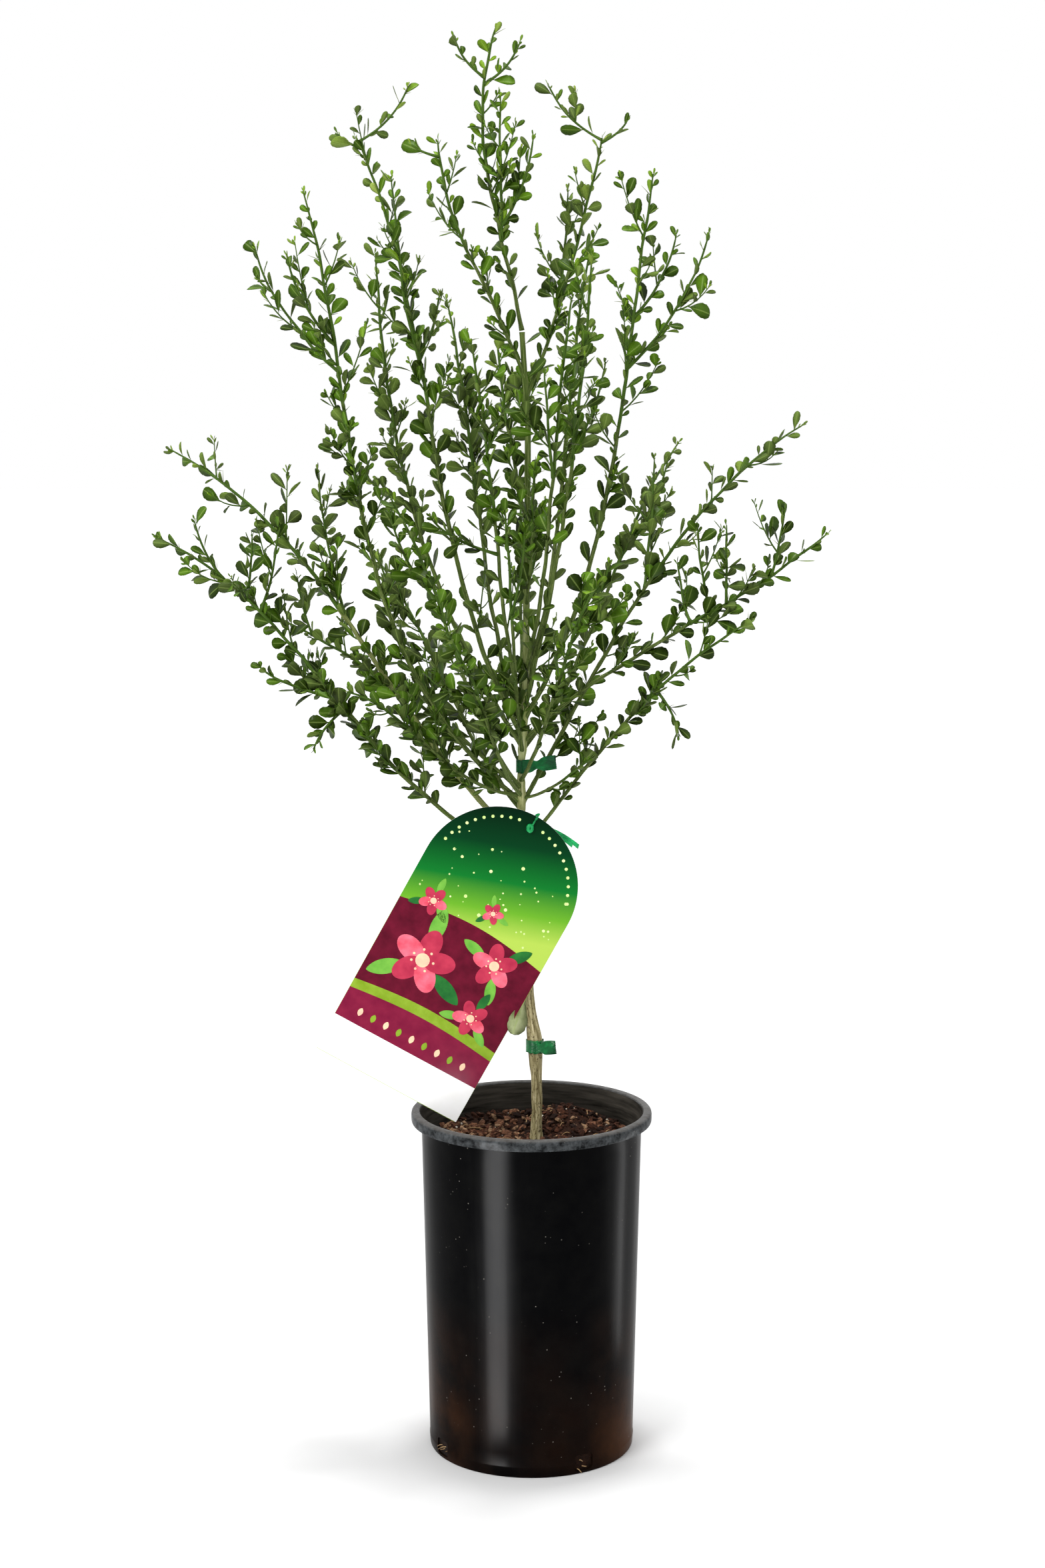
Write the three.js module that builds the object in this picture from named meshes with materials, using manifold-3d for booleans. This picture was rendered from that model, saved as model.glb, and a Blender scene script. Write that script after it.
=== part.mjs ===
// A finger lime tree growing in a round nursery pot, with its hang tag and tape ties.
// Millimetres, +Z up, the origin at the centre of the pot's flat underside, -Y towards the front.
import * as THREE from 'three';
import { mergeVertices } from 'three/addons/utils/BufferGeometryUtils.js';
import Module from 'manifold-3d';

const wasm = await Module();
wasm.setup();

// ---------- driving dimensions ----------

const gap = 0.3; // between touching pieces
const goldenAngle = 137.5; // turn from one leaf or twig to the next, in degrees

const pot = {
  height: 286.6,
  rimRadius: 100, // outside of the rolled rim
  mouthRadius: 92.5, // inside of the rolled rim
  rimDepth: 9.5,
  shoulderRadius: 91.5, // outside of the wall, just under the rim
  footRadius: 85.3,
  footChamfer: 1.5,
  wall: 1.3,
  floor: 2,
  sides: 36,
};
const drainSlot = { count: 4, firstHeading: -60, width: 17, height: 13.5, sill: 2.6 };

const pottingMix = { level: 260, mound: 7, wallDip: 2.5, standRadius: 16, sides: 24 };

// Height, lean and radius of the stem from the root flare up to the tip where the top shoots part.
const trunk = {
  sides: 10,
  stations: [
    { z: 260.3, x: 4, radius: 6.2 },
    { z: 266, x: 4, radius: 4.9 },
    { z: 285, x: 4.5, radius: 4.3 },
    { z: 318, x: 4, radius: 4.6 },
    { z: 334, x: 3.3, radius: 6 }, // graft swelling
    { z: 347, x: 2.4, radius: 6.2 },
    { z: 362, x: 0.2, radius: 4.6 },
    { z: 385, x: -2, radius: 3.7 },
    { z: 450, x: -4, radius: 3.3 },
    { z: 520, x: -8, radius: 3 },
    { z: 567, x: -9, radius: 2.8 },
    { z: 628, x: -5, radius: 2.75 },
    { z: 764, x: -4, radius: 2.6 },
    { z: 849, x: -3, radius: 2.4 },
    { z: 925, x: -8, radius: 2.1 },
  ],
};

const limbShape = {
  tipRadius: 0.8,
  radiusPerLength: 1 / 520, // added to the smallest base radius
  smallestBase: 1.12,
  shareOfTrunk: 0.9, // a limb is at most this share of the trunk's radius
  forkRadius: 1.3,
  forkOut: 0.75, // a fork has gone this share of its reach where it turns up
  forkUp: 0.4, // and this share of its rise
  boughSides: 5,
  boughSteps: 4,
  stemSides: 3,
  stepLength: 48,
};

// One row for each limb. It leaves the trunk at height, goes out along heading (degrees, 0 to the
// right, 90 to the back) for reach, and ends at the height top. bow lifts the first half of its
// curve and sway the second half, as shares of its length. It is a bare bough up to the share bare
// and a leafy mass beyond. Each fork parts at the share at, and ends reach out and rise up from there.
// girth makes one limb thicker than its length alone would.
const limbs = [
  { name: 'farLeftLow', height: 497, heading: 176, reach: 300, top: 760, bow: -0.12, sway: 0.1,
    bare: 0.2, forks: [
      { at: 0.48, heading: -123, reach: 41, rise: -29 },
      { at: 0.51, heading: -159, reach: 64, rise: 28 },
      { at: 0.74, heading: 25, reach: 17, rise: 70 },
      { at: 0.78, heading: -76, reach: 42, rise: 53 },
      { at: 0.84, heading: -139, reach: 27, rise: 48 },
    ] },
  { name: 'rightLow', height: 505, heading: -12, reach: 185, top: 695, bow: 0.04, sway: 0.1,
    bare: 0.24, forks: [{ at: 0.65, heading: -61, reach: 33, rise: -32 }] },
  { name: 'farLeftHigh', height: 512, heading: 170, reach: 295, top: 830, bow: -0.05, sway: 0.13,
    bare: 0.22, girth: 1.25, forks: [{ at: 0.53, heading: 127, reach: 43, rise: 123 }] },
  { name: 'backLowLeft', height: 538, heading: 125, reach: 225, top: 735, bow: -0.08, sway: 0.06,
    bare: 0.22, forks: [{ at: 0.7, heading: 150, reach: 40, rise: 62 }] },
  { name: 'farRightHigh', height: 542, heading: 15, reach: 240, top: 850, bow: 0.04, sway: 0.13,
    bare: 0.22, forks: [{ at: 0.52, heading: 80, reach: 54, rise: 105 }] },
  { name: 'leftLowFront', height: 551, heading: -145, reach: 165, top: 645, bow: -0.17, sway: 0.08,
    bare: 0.22, forks: [] },
  { name: 'frontLowLeft', height: 550, heading: -105, reach: 215, top: 700, bow: -0.08, sway: 0.08,
    bare: 0.22, forks: [{ at: 0.72, heading: -130, reach: 35, rise: 62 }] },
  { name: 'leftMid', height: 545, heading: -165, reach: 175, top: 1030, bow: -0.21, sway: -0.02,
    bare: 0.18, forks: [
      { at: 0.73, heading: 165, reach: 69, rise: 98 },
      { at: 0.77, heading: -138, reach: 46, rise: 66 },
    ] },
  { name: 'rightThin', height: 548, heading: -30, reach: 65, top: 585, bow: -0.14, sway: -0.03,
    bare: 0, forks: [] },
  { name: 'leftLowBack', height: 553, heading: 155, reach: 220, top: 685, bow: 0.05, sway: 0.06,
    bare: 0.24, forks: [{ at: 0.89, heading: -170, reach: 13, rise: 51 }] },
  { name: 'frontLeft', height: 556, heading: -120, reach: 195, top: 800, bow: -0.1, sway: 0.05,
    bare: 0.2, forks: [{ at: 0.66, heading: -150, reach: 40, rise: 70 }] },
  { name: 'backCentre', height: 560, heading: 90, reach: 220, top: 790, bow: -0.08, sway: 0.07,
    bare: 0.2, forks: [{ at: 0.6, heading: 60, reach: 42, rise: 85 }] },
  { name: 'frontLowRight', height: 562, heading: -75, reach: 220, top: 735, bow: -0.06, sway: 0.08,
    bare: 0.22, forks: [{ at: 0.7, heading: -45, reach: 38, rise: 60 }] },
  { name: 'leftBack', height: 590, heading: 150, reach: 140, top: 990, bow: -0.12, sway: -0.1,
    bare: 0.18, forks: [{ at: 0.87, heading: 75, reach: 22, rise: 27 }] },
  { name: 'leftTall', height: 598, heading: 165, reach: 140, top: 1080, bow: -0.09, sway: 0.06,
    bare: 0.18, forks: [
      { at: 0.62, heading: -151, reach: 25, rise: 149 },
      { at: 0.64, heading: 66, reach: 41, rise: 50 },
      { at: 0.99, heading: 12, reach: 41, rise: 45 },
      { at: 0.98, heading: -161, reach: 19, rise: 11 },
    ] },
  { name: 'backRight', height: 588, heading: 50, reach: 210, top: 835, bow: -0.1, sway: 0.06,
    bare: 0.2, forks: [{ at: 0.62, heading: 25, reach: 44, rise: 80 }] },
  { name: 'frontMid', height: 586, heading: -95, reach: 150, top: 785, bow: -0.1, sway: 0.06,
    bare: 0.18, forks: [{ at: 0.6, heading: -70, reach: 30, rise: 70 }] },
  { name: 'farRightLow', height: 594, heading: -5, reach: 245, top: 765, bow: 0.07, sway: -0.04,
    bare: 0.2, forks: [
      { at: 0.56, heading: 107, reach: 33, rise: 47 },
      { at: 0.62, heading: 128, reach: 17, rise: 70 },
      { at: 0.67, heading: -97, reach: 26, rise: 64 },
      { at: 0.81, heading: -15, reach: 10, rise: 54 },
    ] },
  { name: 'backLeftHigh', height: 602, heading: 115, reach: 155, top: 955, bow: -0.12, sway: 0.04,
    bare: 0.16, forks: [{ at: 0.55, heading: 95, reach: 40, rise: 95 }] },
  { name: 'centreFront', height: 606, heading: -130, reach: 65, top: 915, bow: -0.04, sway: 0.03,
    bare: 0.16, forks: [{ at: 0.46, heading: -146, reach: 64, rise: 31 }] },
  { name: 'rightMid', height: 613, heading: -15, reach: 105, top: 1045, bow: -0.11, sway: -0.02,
    bare: 0.16, forks: [
      { at: 0.66, heading: -24, reach: 68, rise: 104 },
      { at: 0.75, heading: 28, reach: 39, rise: 65 },
    ] },
  { name: 'rightFront', height: 622, heading: -55, reach: 90, top: 980, bow: -0.05, sway: -0.05,
    bare: 0.16, forks: [] },
  { name: 'backRightHigh', height: 642, heading: 65, reach: 130, top: 1000, bow: -0.12, sway: 0.04,
    bare: 0.16, forks: [{ at: 0.5, heading: 40, reach: 45, rise: 85 }] },
  { name: 'frontRightHigh', height: 652, heading: -75, reach: 135, top: 945, bow: -0.12, sway: 0.04,
    bare: 0.16, forks: [{ at: 0.55, heading: -100, reach: 36, rise: 80 }] },
  { name: 'spurFront', height: 705, heading: -80, reach: 42, top: 822, bow: -0.1, sway: 0.02,
    bare: 0, forks: [{ at: 0.35, heading: -160, reach: 26, rise: 40 }] },
  { name: 'centreBack', height: 770, heading: 120, reach: 50, top: 920, bow: -0.04, sway: -0.04,
    bare: 0, forks: [] },
  { name: 'rightTall', height: 872, heading: 35, reach: 75, top: 1080, bow: -0.04, sway: -0.03,
    bare: 0, forks: [
      { at: 0.33, heading: 77, reach: 44, rise: 102 },
      { at: 0.99, heading: 171, reach: 44, rise: 44 },
      { at: 0.98, heading: -40, reach: 27, rise: 16 },
    ] },
  { name: 'topLeft', height: 885, heading: -155, reach: 75, top: 1070, bow: 0.02, sway: -0.12,
    bare: 0, forks: [{ at: 0.94, heading: -170, reach: 22, rise: 9 }] },
  { name: 'top', height: 925, heading: 180, reach: 20, top: 1160, bow: -0.03, sway: -0.15,
    bare: 0, forks: [
      { at: 0.3, heading: -100, reach: 9, rise: 112 },
      { at: 0.34, heading: -37, reach: 34, rise: 70 },
      { at: 0.82, heading: 25, reach: 31, rise: 34 },
      { at: 0.84, heading: -153, reach: 27, rise: 29 },
    ] },
];

const growth = {
  seed: 41,
  twigEvery: 110, // along a stem
  twigTilt: 52, // degrees from the stem
  twigLength: [20, 44],
  twigLift: 0.25, // a twig's tip turns up by this share of its length
  twigBase: 0.95, // radius
  twigTip: 0.65,
  firstLeaf: 6,
  clearOfTrunk: 12, // first leaf of a stem that meets the trunk itself
  leafEvery: 22,
  leafTilt: 58,
  leafLength: [26, 36],
  leafWidthShare: 0.5,
  leafThickness: 1.1,
  widestAt: 0.6, // share of the leaf's length
  leafDroop: 0.08,
  tipLeaf: 20, // length of shoot that the tip leaf takes the place of
  tipRootDepth: 2.5,
  rootDepth: 0.3, // below the middle of the stem, in radii
  ownSpace: 1.6, // a point is this much nearer to its own stem than to any other
  limbClearance: 1.2,
  leafApart: 13, // between the middles of two leaves
  lowest: 556, // no twig or leaf hangs lower
};

const tag = {
  width: 132,
  length: 257,
  thickness: 1,
  tilt: -29, // degrees, clockwise seen from the front
  headCentre: { x: -28, z: 476 },
  back: -6.6, // its back face, in front of the trunk
  holeRadius: 3.6,
  holeToEdge: 11,
  holeLean: 29.5, // degrees from the vertical, from the head's centre to the hole
};

const tie = {
  tapeWidth: 11,
  tapeThickness: 0.8,
  ringSides: 12,
  strandWidth: 2, // the tape of the tag's tie is twisted into a strand
  tagTail: { length: 46, width: 4, drop: 22 }, // it hangs out to the right behind the tag
  low: { z: 340.5, tail: 17, tailLean: 0 },
  high: { z: 574, tail: 28, tailLean: -8 },
};

// ---------- small helpers ----------

const radians = (degrees) => THREE.MathUtils.degToRad(degrees);

const outward = (heading) => new THREE.Vector3(Math.cos(radians(heading)), Math.sin(radians(heading)), 0);

const between = (range, share) => range[0] + (range[1] - range[0]) * share;

// A repeatable stream of numbers from 0 to 1.
function seededDraw(seed) {
  let state = seed >>> 0;
  return () => {
    state = (state + 0x6d2b79f5) >>> 0;
    let mixed = Math.imul(state ^ (state >>> 15), state | 1);
    mixed ^= mixed + Math.imul(mixed ^ (mixed >>> 7), mixed | 61);
    return ((mixed ^ (mixed >>> 14)) >>> 0) / 4294967296;
  };
}

function solidOf(geometry) {
  const bare = geometry.clone();
  bare.deleteAttribute('normal');
  bare.deleteAttribute('uv');
  const merged = mergeVertices(bare, 1e-4);
  return new wasm.Manifold(new wasm.Mesh({
    numProp: 3,
    vertProperties: new Float32Array(merged.attributes.position.array),
    triVerts: new Uint32Array(merged.index.array),
  }));
}

function geometryOf(solid) {
  const mesh = solid.getMesh();
  const geometry = new THREE.BufferGeometry();
  geometry.setAttribute('position', new THREE.BufferAttribute(new Float32Array(mesh.vertProperties), 3));
  geometry.setIndex(new THREE.BufferAttribute(new Uint32Array(mesh.triVerts), 1));
  geometry.computeVertexNormals();
  return geometry;
}

// Trimming can leave a loose scrap, so the largest body is kept.
function largestBody(solid) {
  const bodies = solid.decompose();
  return bodies.reduce((best, body) => (body.volume() > best.volume() ? body : best));
}

function facetedGeometry(points, faces) {
  const geometry = new THREE.BufferGeometry();
  geometry.setAttribute('position', new THREE.Float32BufferAttribute(points.flatMap((p) => p.toArray()), 3));
  geometry.setIndex(faces.flat());
  return geometry;
}

// Rings of vertices along a path, joined by side faces. An open path gets a flat cap at each end,
// and a closed one runs round into its first ring.
function sleeve(rings, closed) {
  const sides = rings[0].length;
  const points = rings.flat();
  const faces = [];
  const spans = closed ? rings.length : rings.length - 1;
  for (let ring = 0; ring < spans; ring += 1) {
    const next = (ring + 1) % rings.length;
    for (let side = 0; side < sides; side += 1) {
      const beside = (side + 1) % sides;
      const [a, b] = [ring * sides + side, ring * sides + beside];
      const [c, d] = [next * sides + side, next * sides + beside];
      faces.push([a, b, d], [a, d, c]);
    }
  }
  if (!closed) {
    const last = (rings.length - 1) * sides;
    for (let side = 1; side < sides - 1; side += 1) {
      faces.push([0, side + 1, side], [last, last + side, last + side + 1]);
    }
  }
  return facetedGeometry(points, faces);
}

// The direction at a turn about a shoot. Each shoot bends in one upright plane, and its level
// vector is square to that plane, so 0 points level and 90 degrees to the upper side.
function spokeAt(shoot, share, turn) {
  const upper = shoot.curve.getTangent(share).cross(shoot.level).negate();
  return shoot.level.clone().multiplyScalar(Math.cos(turn)).addScaledVector(upper, Math.sin(turn));
}

// A tapering limb along a shoot's curve, between two shares of it.
function taperedLimb(shoot, from, to, steps, sides) {
  const rings = [];
  for (let step = 0; step <= steps; step += 1) {
    const share = from + (to - from) * (step / steps);
    const centre = shoot.curve.getPoint(share);
    const ring = [];
    for (let side = 0; side < sides; side += 1) {
      const spoke = spokeAt(shoot, share, Math.PI * (0.5 - (2 * side) / sides));
      ring.push(centre.clone().addScaledVector(spoke, shoot.radius(share)));
    }
    rings.push(ring);
  }
  return sleeve(rings, false);
}

// ---------- pot and potting mix ----------

const innerRadiusAt = (z) => {
  const share = z / (pot.height - pot.rimDepth);
  return pot.footRadius + (pot.shoulderRadius - pot.footRadius) * share - pot.wall;
};

function makePot() {
  const underRim = pot.height - pot.rimDepth;
  const profile = [
    [0, 0],
    [pot.footRadius - pot.footChamfer, 0],
    [pot.footRadius, pot.footChamfer],
    [pot.shoulderRadius, underRim],
    [pot.rimRadius - 1.5, underRim],
    [pot.rimRadius, underRim + 2],
    [pot.rimRadius, pot.height - 1.5],
    [pot.rimRadius - 1.5, pot.height],
    [pot.mouthRadius + 1, pot.height],
    [pot.mouthRadius, pot.height - 1.5],
    [innerRadiusAt(underRim), underRim - 4],
    [innerRadiusAt(pot.floor), pot.floor],
    [0, pot.floor],
  ].map(([radius, z]) => new THREE.Vector2(radius, z));
  let shell = solidOf(new THREE.LatheGeometry(profile, pot.sides).rotateX(Math.PI / 2));
  for (let index = 0; index < drainSlot.count; index += 1) {
    const heading = drainSlot.firstHeading + (360 * index) / drainSlot.count;
    const cutter = new THREE.BoxGeometry(14, drainSlot.width, drainSlot.height);
    cutter.translate(pot.footRadius, 0, drainSlot.sill + drainSlot.height / 2);
    cutter.rotateZ(radians(heading));
    shell = shell.subtract(solidOf(cutter));
  }
  return shell;
}

function makePottingMix() {
  const bottom = pot.floor + gap;
  const edge = pottingMix.level - pottingMix.wallDip;
  const profile = [
    [0, bottom],
    [innerRadiusAt(bottom) - gap - 0.4, bottom],
    [innerRadiusAt(edge) - gap - 0.4, edge],
    [pot.mouthRadius * 0.7, pottingMix.level + pottingMix.mound],
    [pottingMix.standRadius, pottingMix.level],
    [0, pottingMix.level],
  ].map(([radius, z]) => new THREE.Vector2(radius, z));
  return solidOf(new THREE.LatheGeometry(profile, pottingMix.sides).rotateX(Math.PI / 2));
}

// ---------- trunk ----------

function trunkAt(z) {
  const rows = trunk.stations;
  const above = rows.findIndex((row) => row.z >= z);
  const upper = rows[above === -1 ? rows.length - 1 : above];
  const lower = rows[above === -1 ? rows.length - 1 : Math.max(above - 1, 0)];
  const share = upper.z === lower.z ? 0 : (z - lower.z) / (upper.z - lower.z);
  return {
    centre: new THREE.Vector3(between([lower.x, upper.x], share), 0, z),
    radius: between([lower.radius, upper.radius], share),
  };
}

function makeTrunk(extra) {
  const rings = trunk.stations.map((row) => {
    const ring = [];
    for (let side = 0; side < trunk.sides; side += 1) {
      const spoke = outward((360 * side) / trunk.sides).multiplyScalar(row.radius + extra);
      ring.push(spoke.add(new THREE.Vector3(row.x, 0, row.z)));
    }
    return ring;
  });
  return solidOf(sleeve(rings, false));
}

// ---------- limbs ----------

function limbCurve(limb) {
  const base = trunkAt(limb.height).centre;
  const out = outward(limb.heading);
  const rise = limb.top - limb.height;
  const length = Math.hypot(limb.reach, rise);
  const chord = out.clone().multiplyScalar(limb.reach).setZ(rise);
  const lift = out.clone().multiplyScalar(-rise / length).setZ(limb.reach / length);
  const first = base.clone().addScaledVector(chord, 1 / 3).addScaledVector(lift, limb.bow * length);
  const second = base.clone().addScaledVector(chord, 2 / 3).addScaledVector(lift, limb.sway * length);
  return new THREE.CubicBezierCurve3(base, first, second, base.clone().add(chord));
}

// A side shoot leaves level and turns up towards its tip.
function forkCurve(curve, fork) {
  const base = curve.getPoint(fork.at);
  const chord = outward(fork.heading).multiplyScalar(fork.reach).setZ(fork.rise);
  const { forkOut, forkUp } = limbShape;
  const bend = base.clone().add(chord.clone().multiply(new THREE.Vector3(forkOut, forkOut, forkUp)));
  return new THREE.QuadraticBezierCurve3(base, bend, base.clone().add(chord));
}

const limbRadius = (limb) => {
  const length = Math.hypot(limb.reach, limb.top - limb.height);
  const girth = limb.girth ?? 1;
  const grownBase = (limbShape.smallestBase + length * limbShape.radiusPerLength) * girth;
  const base = Math.min(grownBase, trunkAt(limb.height).radius * limbShape.shareOfTrunk);
  return (share) => between([base, limbShape.tipRadius], share);
};

const sampled = (curve, from, to, count) => {
  const shares = Array.from({ length: count + 1 }, (_, index) => between([from, to], index / count));
  return shares.map((share) => curve.getPoint(share));
};

// The wood stops short of a shoot's end, and the tip leaf fills the rest.
const woodEnd = (length) => Math.max(0.4, 1 - growth.tipLeaf / length);

const woodLength = (shoot) => shoot.curve.getLength() * (shoot.to - shoot.from);

const alongWood = (shoot, place) => shoot.from + (shoot.to - shoot.from) * (place / woodLength(shoot));

function grownLimb(limb) {
  const curve = limbCurve(limb);
  const radius = limbRadius(limb);
  const length = curve.getLength();
  const level = outward(limb.heading - 90);
  const from = limb.bare === 0 ? 0 : limb.bare + gap / length;
  const stem = { curve, level, from, to: woodEnd(length), radius };
  const forks = limb.forks.map((fork) => {
    const side = forkCurve(curve, fork);
    const base = Math.min(radius(fork.at), limbShape.forkRadius);
    const sideRadius = (share) => between([base, limbShape.tipRadius], share);
    const to = woodEnd(side.getLength());
    return { curve: side, level: outward(fork.heading - 90), from: 0, to, radius: sideRadius };
  });
  const shoots = [stem, ...forks];
  const lines = shoots.map((shoot) => sampled(shoot.curve, shoot.from, 1, 16));
  const bareLine = sampled(curve, 0, Math.max(limb.bare, 0.001), 8);
  return { limb, curve, level, radius, shoots, lines, bareLine, leafMiddles: [] };
}

const grown = limbs.map(grownLimb);

// ---------- the space that each mass keeps to ----------

const segment = new THREE.Line3();
const nearest = new THREE.Vector3();

function distanceToLine(point, line) {
  let least = Infinity;
  for (let index = 1; index < line.length; index += 1) {
    segment.set(line[index - 1], line[index]);
    segment.closestPointToPoint(point, true, nearest);
    least = Math.min(least, nearest.distanceTo(point));
  }
  return least;
}

const distanceToMass = (point, mass) => Math.min(...mass.lines.map((line) => distanceToLine(point, line)));

const trunkLine = trunk.stations.map((row) => new THREE.Vector3(row.x, 0, row.z));

function inOwnSpace(point, own) {
  if (point.z < growth.lowest) return false;
  const reach = distanceToMass(point, own) + growth.ownSpace;
  const trunkHere = trunkAt(Math.min(point.z, trunkLine[trunkLine.length - 1].z));
  if (distanceToLine(point, trunkLine) < trunkHere.radius + growth.limbClearance) return false;
  return grown.every((other) => {
    const thick = other.radius(0) + growth.limbClearance;
    if (other.limb.bare > 0 && distanceToLine(point, other.bareLine) < thick) return false;
    return other === own || distanceToMass(point, other) > reach;
  });
}

// ---------- twigs and leaves ----------

// A direction that stands off a shoot by tilt, on the side that turn gives.
function standingOff(shoot, share, turn, tilt) {
  const along = shoot.curve.getTangent(share).multiplyScalar(Math.cos(tilt));
  return along.addScaledVector(spokeAt(shoot, share, turn), Math.sin(tilt));
}

// The middle of the flat of a three-sided stem that is nearest to a turn.
const nearestFlat = (turn) => {
  const third = (2 * Math.PI) / limbShape.stemSides;
  return (Math.round((turn + Math.PI / 2) / third) * third) - Math.PI / 2;
};

// A spoon-shaped leaf as five points: root, tip, two shoulders and the crest over a flat underside.
function leafPoints(root, along, face, length) {
  const shoulder = face.clone().cross(along).normalize();
  const up = along.clone().cross(shoulder).normalize();
  const halfWidth = (length * growth.leafWidthShare) / 2;
  const middle = root.clone().addScaledVector(along, length * growth.widestAt);
  const crest = root.clone().addScaledVector(along, length * 0.5);
  return [
    root.clone(),
    root.clone().addScaledVector(along, length).addScaledVector(up, -length * growth.leafDroop),
    middle.clone().addScaledVector(shoulder, halfWidth),
    middle.clone().addScaledVector(shoulder, -halfWidth),
    crest.addScaledVector(up, growth.leafThickness),
  ];
}

const leafFaces = [
  [0, 4, 2], [2, 4, 1], [1, 4, 3], [3, 4, 0],
  [0, 2, 3], [2, 1, 3],
];

function leafOn(own, root, along, draw) {
  const length = between(growth.leafLength, draw());
  const lean = new THREE.Vector3(draw() - 0.5, draw() - 0.5, 0.9);
  const points = leafPoints(root, along, lean, length);
  const middle = points[2].clone().lerp(points[3], 0.5);
  if (own.leafMiddles.some((other) => other.distanceTo(middle) < growth.leafApart)) return null;
  const samples = [...points.slice(1), middle.clone().lerp(points[1], 0.5)];
  if (!samples.every((point) => inOwnSpace(point, own))) return null;
  own.leafMiddles.push(middle);
  return solidOf(facetedGeometry(points, leafFaces));
}

function leavesAlong(own, shoot, start, draw) {
  const solids = [];
  const count = Math.floor((woodLength(shoot) - start) / growth.leafEvery);
  for (let index = 0; index <= count; index += 1) {
    const share = alongWood(shoot, start + index * growth.leafEvery);
    const turn = nearestFlat(radians(index * goldenAngle + 40 * draw()));
    const along = standingOff(shoot, share, turn, radians(growth.leafTilt));
    const root = shoot.curve.getPoint(share).addScaledVector(along, -growth.rootDepth * shoot.radius(share));
    solids.push(leafOn(own, root, along, draw));
  }
  const end = shoot.curve.getPoint(shoot.to);
  const onward = shoot.curve.getTangent(shoot.to);
  solids.push(leafOn(own, end.addScaledVector(onward, -growth.tipRootDepth), onward, draw));
  return solids.filter((solid) => solid !== null);
}

function twigsAlong(own, shoot, draw) {
  const twigs = [];
  const last = woodLength(shoot) - growth.tipLeaf;
  for (let place = growth.twigEvery * 0.6; place < last; place += growth.twigEvery) {
    const share = alongWood(shoot, place);
    const turn = nearestFlat(radians(twigs.length * goldenAngle + 360 * draw()));
    const along = standingOff(shoot, share, turn, radians(growth.twigTilt));
    const length = between(growth.twigLength, draw());
    const base = shoot.curve.getPoint(share);
    const bend = base.clone().addScaledVector(along, length * 0.6);
    const end = base.clone().addScaledVector(along, length);
    end.z += length * growth.twigLift;
    const curve = new THREE.QuadraticBezierCurve3(base, bend, end);
    if ([bend, end].every((point) => inOwnSpace(point, own))) {
      const thick = Math.min(growth.twigBase, shoot.radius(share) * 0.9);
      const radius = (part) => between([thick, growth.twigTip], part);
      const level = new THREE.Vector3(along.y, -along.x, 0).normalize();
      twigs.push({ curve, level, from: 0, to: woodEnd(curve.getLength()), radius });
    }
  }
  return twigs;
}

const shootSolid = (shoot) => {
  const steps = Math.max(1, Math.round(woodLength(shoot) / limbShape.stepLength));
  return solidOf(taperedLimb(shoot, shoot.from, shoot.to, steps, limbShape.stemSides));
};

function makeMass(own, index) {
  const draw = seededDraw(growth.seed + index);
  const twigs = own.shoots.flatMap((shoot) => twigsAlong(own, shoot, draw));
  const shoots = [...own.shoots, ...twigs];
  const wood = shoots.map(shootSolid);
  const start = own.limb.bare === 0 ? growth.clearOfTrunk : growth.firstLeaf;
  const leaves = shoots.flatMap((shoot) => leavesAlong(own, shoot, start, draw));
  return wasm.Manifold.union([...wood, ...leaves]);
}

const makeBough = (own) => solidOf(
  taperedLimb(own, 0, own.limb.bare, limbShape.boughSteps, limbShape.boughSides),
);

// ---------- tag and ties ----------

function makeTag() {
  const radius = tag.width / 2;
  const outline = new THREE.Shape();
  outline.moveTo(-radius, radius - tag.length);
  outline.lineTo(radius, radius - tag.length);
  outline.lineTo(radius, 0);
  outline.absarc(0, 0, radius, 0, Math.PI, false);
  outline.closePath();
  const middle = outward(90 - tag.holeLean - tag.tilt).multiplyScalar(radius - tag.holeToEdge);
  const hole = new THREE.Path();
  hole.absarc(middle.x, middle.y, tag.holeRadius, 0, 2 * Math.PI, true);
  outline.holes.push(hole);
  const options = { depth: tag.thickness, bevelEnabled: false, curveSegments: 12 };
  return new THREE.ExtrudeGeometry(outline, options).rotateX(Math.PI / 2);
}

// A flat tape bent round a closed loop of places.
function tapeLoop(places, width, thickness) {
  const curve = new THREE.CatmullRomCurve3(places, true);
  const steps = places.length * 3;
  const rings = [];
  for (let step = 0; step < steps; step += 1) {
    const centre = curve.getPoint(step / steps);
    const tangent = curve.getTangent(step / steps);
    const side = new THREE.Vector3(0, 0, 1).addScaledVector(tangent, -tangent.z).normalize();
    const face = tangent.clone().cross(side);
    const corner = (across, deep) => centre.clone()
      .addScaledVector(side, (across * width) / 2)
      .addScaledVector(face, (deep * thickness) / 2);
    rings.push([corner(-1, -1), corner(1, -1), corner(1, 1), corner(-1, 1)]);
  }
  return solidOf(sleeve(rings, true));
}

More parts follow.
